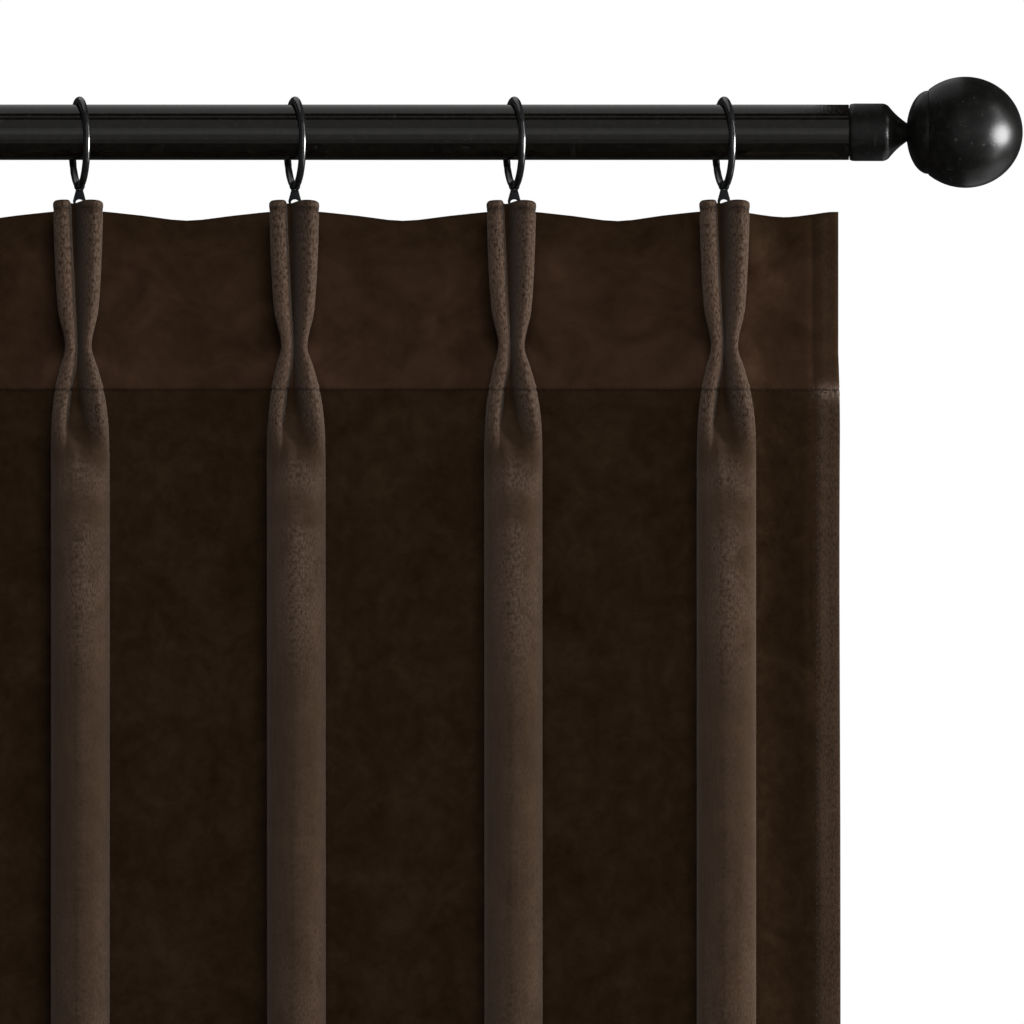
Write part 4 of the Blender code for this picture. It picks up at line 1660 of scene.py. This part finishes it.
@dataclass
class Clip:
    """A flat clip below a ring; lengths in mm from the eye's middle and angles in degrees."""

    number: int
    material: bpy.types.Material
    thickness: float = 0.8
    rounding: float = 0.14
    eye: float = 1.67
    rim: float = 0.83
    rim_turns: Pair = (-48.0, 228.0)
    neck_half: float = 1.95
    neck_drop: float = 3.0
    shoulder_drop: float = 6.9
    shoulder_half: float = 3.0
    tongue_half: float = 2.6
    tongue_top: float = 9.5
    tongue_end: float = 21.0
    tongue_corner: float = 0.8
    arch_half: float = 1.7
    arch_drop: float = 6.2
    arch_rise: float = 1.2
    arch_end: float = 16.0
    rim_points: int = 33
    eye_points: int = 36
    arch_points: int = 15
    rounding_steps: int = 2
    merge: float = 0.004
    sharp: float = 35.0

    def outlines(self) -> list[list[Pair]]:
        """The plate's outline, its eye and its arch."""
        rim = self.eye + self.rim
        left = [(-self.neck_half, -self.neck_drop), (-self.shoulder_half, -self.shoulder_drop),
                (-self.tongue_half, -self.tongue_top),
                (-self.tongue_half, -self.tongue_end + self.tongue_corner),
                (-self.tongue_half + self.tongue_corner, -self.tongue_end)]
        plate = [(rim * math.cos(t), rim * math.sin(t))
                 for t in np.radians(np.linspace(*self.rim_turns, self.rim_points))]
        plate += left + [(-x, y) for x, y in reversed(left)]
        eye = [(self.eye * math.cos(t), self.eye * math.sin(t))
               for t in np.linspace(0, math.tau, self.eye_points, endpoint=False)]
        arch = [(-self.arch_half, -self.arch_end), (self.arch_half, -self.arch_end)]
        arch += [(self.arch_half * math.cos(t), self.arch_rise * (math.sin(t) - 1) - self.arch_drop)
                 for t in np.linspace(0, math.pi, self.arch_points)]
        return [plate, eye, arch]

    def build(self) -> bpy.types.Object:
        """Make the clip as a plate with rounded edges."""
        node = f"clip_{self.number}"
        low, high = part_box(node)
        curve = bpy.data.curves.new(node, "CURVE")
        curve.dimensions = "2D"
        curve.fill_mode = "BOTH"
        curve.extrude = (self.thickness / 2 - self.rounding) * MM
        curve.bevel_depth = self.rounding * MM
        curve.bevel_resolution = self.rounding_steps
        curve.offset = -self.rounding * MM
        for points in self.outlines():
            spline = curve.splines.new("POLY")
            spline.points.add(len(points) - 1)
            for point, (x, y) in zip(spline.points, points):
                point.co = (x * MM, y * MM, 0, 1)
            spline.use_cyclic_u = True
        shape = bmesh.new()
        shape.from_mesh(take_mesh(bpy.data.objects.new(node + "_guide", curve)))
        mesh = outward_mesh(shape, self.merge * MM, self.sharp)
        eye_height = low[2] + self.tongue_end * MM
        spot = Matrix.Translation(((low[0] + high[0]) / 2, 0, eye_height))
        mesh.transform(spot @ Matrix.Rotation(math.pi / 2, 4, "X"))
        return add_piece(node + "_plate", mesh, self.material, Slot.CLIP, node)


# ---- Studio ----


@dataclass(frozen=True)
class SoftBox:
    """A soft studio light: where it hangs, what it faces, its size and its power."""

    name: str
    place: tuple[float, float, float]
    aim: tuple[float, float, float]
    size: Pair
    power: float
    mirrored: bool = True
    lights_cloth: bool = True
    shape: str = "RECTANGLE"

    def build(self) -> None:
        """Hang the light and point it."""
        lamp = bpy.data.lights.new(self.name, "AREA")
        lamp.shape = self.shape
        lamp.size, lamp.size_y = self.size
        lamp.energy = self.power
        stand = bpy.data.objects.new(self.name, lamp)
        stand.location = self.place
        way = Vector(self.aim) - Vector(self.place)
        stand.rotation_euler = way.to_track_quat("-Z", "Y").to_euler()
        stand.visible_camera = False
        stand.visible_glossy = self.mirrored
        stand.visible_diffuse = self.lights_cloth
        bpy.context.scene.collection.objects.link(stand)


# A key on the right, the glints on the metal, dim cards round the rod, and fills that
# don't mirror.
SOFT_BOXES = tuple(SoftBox(*row) for row in (
    ("key_box", (4.16, -0.52, -0.45), (0.2, 0.0, -0.2), (0.55, 2.0), 350.0, False),
    ("glint_box", (1.70, -0.35, -0.10), (0.4, 0.0, 0.0), (0.95, 0.74), 80.0, True, False,
     "ELLIPSE"),
    ("glint_strip", (1.76, -0.30, 0.0), (0.4, 0.0, 0.0), (0.4, 2.6), 16.0, True, False),
    ("overhead_box", (-0.19, 0.66, 1.1), (-0.19, 0.0, 0.0), (1.1, 1.9), 3.4),
    ("thin_card", (0.7, -0.59, 1.38), (0.7, 0.0, 0.0), (2.0, 0.13), 0.30),
    ("upper_card", (0.7, -1.5, 0.88), (0.7, 0.0, 0.88), (2.0, 2.06), 3.8),
    ("lower_card", (0.7, -1.5, -0.9), (0.7, 0.0, -0.9), (2.0, 1.5), 1.6),
    ("middle_card", (0.7, -1.49, -0.36), (0.7, 0.0, -0.36), (2.0, 1.0), 0.8),
    ("level_card", (0.7, -1.48, 0.06), (0.7, 0.0, 0.06), (2.0, 0.72), 0.95),
    ("low_box", (1.5, 0.45, -1.3), (0.4, 0.0, 0.0), (0.9, 0.9), 2.0),
    ("rear_low_card", (1.05, 0.6, -1.0), (1.05, 0.0, 0.0), (1.2, 1.3), 3.0),
    ("front_fill", (0.4, -2.6, 1.15), (0.15, 0.0, -0.25), (0.9, 0.9), 78.0, False),
    ("back_fill", (-0.6, 3.2, 0.8), (0.0, 0.0, -0.9), (1.6, 1.6), 60.0, False),
))


@dataclass
class Studio:
    """Backdrop light, floor, soft boxes and camera; lengths in metres."""

    frame_width: float = 0.4687
    camera_distance: float = 10.0
    camera_x: float = 0.1984
    camera_z: float = -0.1738
    sensor: float = 36.0
    clip: Pair = (0.1, 100.0)
    floor_half: float = 2.6
    floor_gap: float = 0.012
    ambient: float = 0.14
    mirrored_ambient: float = 0.03
    backdrop: float = 1.0

    def build(self) -> None:
        """Set up everything that isn't the object."""
        self.build_world()
        self.build_floor()
        self.build_camera()
        for box in SOFT_BOXES:
            box.build()
        bpy.context.scene.view_settings.view_transform = "Standard"
        LOG.info("studio ready")

    def build_world(self) -> None:
        """White to the camera, a dim even light on the object, dimmer still in mirrors."""
        world = bpy.data.worlds.new("studio")
        world.use_nodes = True
        world.node_tree.nodes.clear()
        tree = Tree(world.node_tree)
        even, mirrored, seen = [
            tree.node("ShaderNodeBackground", inputs={"Color": WHITE, "Strength": strength})
            for strength in (self.ambient, self.mirrored_ambient, self.backdrop)]
        ray = tree.node("ShaderNodeLightPath", output="Is Camera Ray")
        light = tree.node("ShaderNodeMixShader",
                          inputs={0: ray.beside("Is Glossy Ray"), 1: even, 2: mirrored})
        light = tree.node("ShaderNodeMixShader", inputs={0: ray, 1: light, 2: seen})
        target = world.node_tree.nodes.new("ShaderNodeOutputWorld")
        tree.feed(target.inputs["Surface"], light)
        bpy.context.scene.world = world

    def build_floor(self) -> None:
        """A pale floor just under the hem."""
        half, level = self.floor_half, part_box("curtain")[0][2] - self.floor_gap
        corners = [(x * half, y * half, level) for x, y in ((-1, -1), (1, -1), (1, 1), (-1, 1))]
        mesh = bpy.data.meshes.new("floor")
        mesh.from_pydata(corners, [], [(0, 1, 2, 3)])
        mesh.materials.append(FloorFinish().make())
        floor = bpy.data.objects.new("floor", mesh)
        floor.visible_glossy = False
        bpy.context.scene.collection.objects.link(floor)

    def build_camera(self) -> None:
        """A long lens straight at the curtain's face."""
        lens = bpy.data.cameras.new("camera")
        lens.sensor_width = self.sensor
        lens.lens = self.sensor * self.camera_distance / self.frame_width
        lens.clip_start, lens.clip_end = self.clip
        camera = bpy.data.objects.new("camera", lens)
        camera.location = (self.camera_x, -self.camera_distance, self.camera_z)
        camera.rotation_euler = (math.pi / 2, 0, 0)
        bpy.context.scene.collection.objects.link(camera)
        bpy.context.scene.camera = camera


def main() -> None:
    """Build the curtain's pieces in order, then the studio."""
    logging.basicConfig(level=logging.INFO, format="%(name)s: %(message)s")
    velvet, thread, rod_paint, gloss_paint, ring_paint, clip_paint = [
        finish.make() for finish in (VelvetFinish(), ThreadFinish(), ROD_PAINT, GLOSS_PAINT,
                                     RING_PAINT, CLIP_PAINT)]
    cloth = Cloth(velvet)
    sheet = cloth.build()
    LOG.info("cloth is %.3f m across, unpleated", cloth.across[-1])
    stitches = Sewing(stitch_group(), thread).sew_all(cloth)
    Rod(rod_paint).build()
    for side in Side:
        finial = Finial(side, gloss_paint)
        finial.build_collar()
        finial.build_ball()
    for number in range(1, len(PLEATS) + 1):
        Ring(number, ring_paint).build()
        Clip(number, clip_paint).build()
    cloth.flat_width * MM
    Studio().build()


if __name__ == "__main__":
    main()
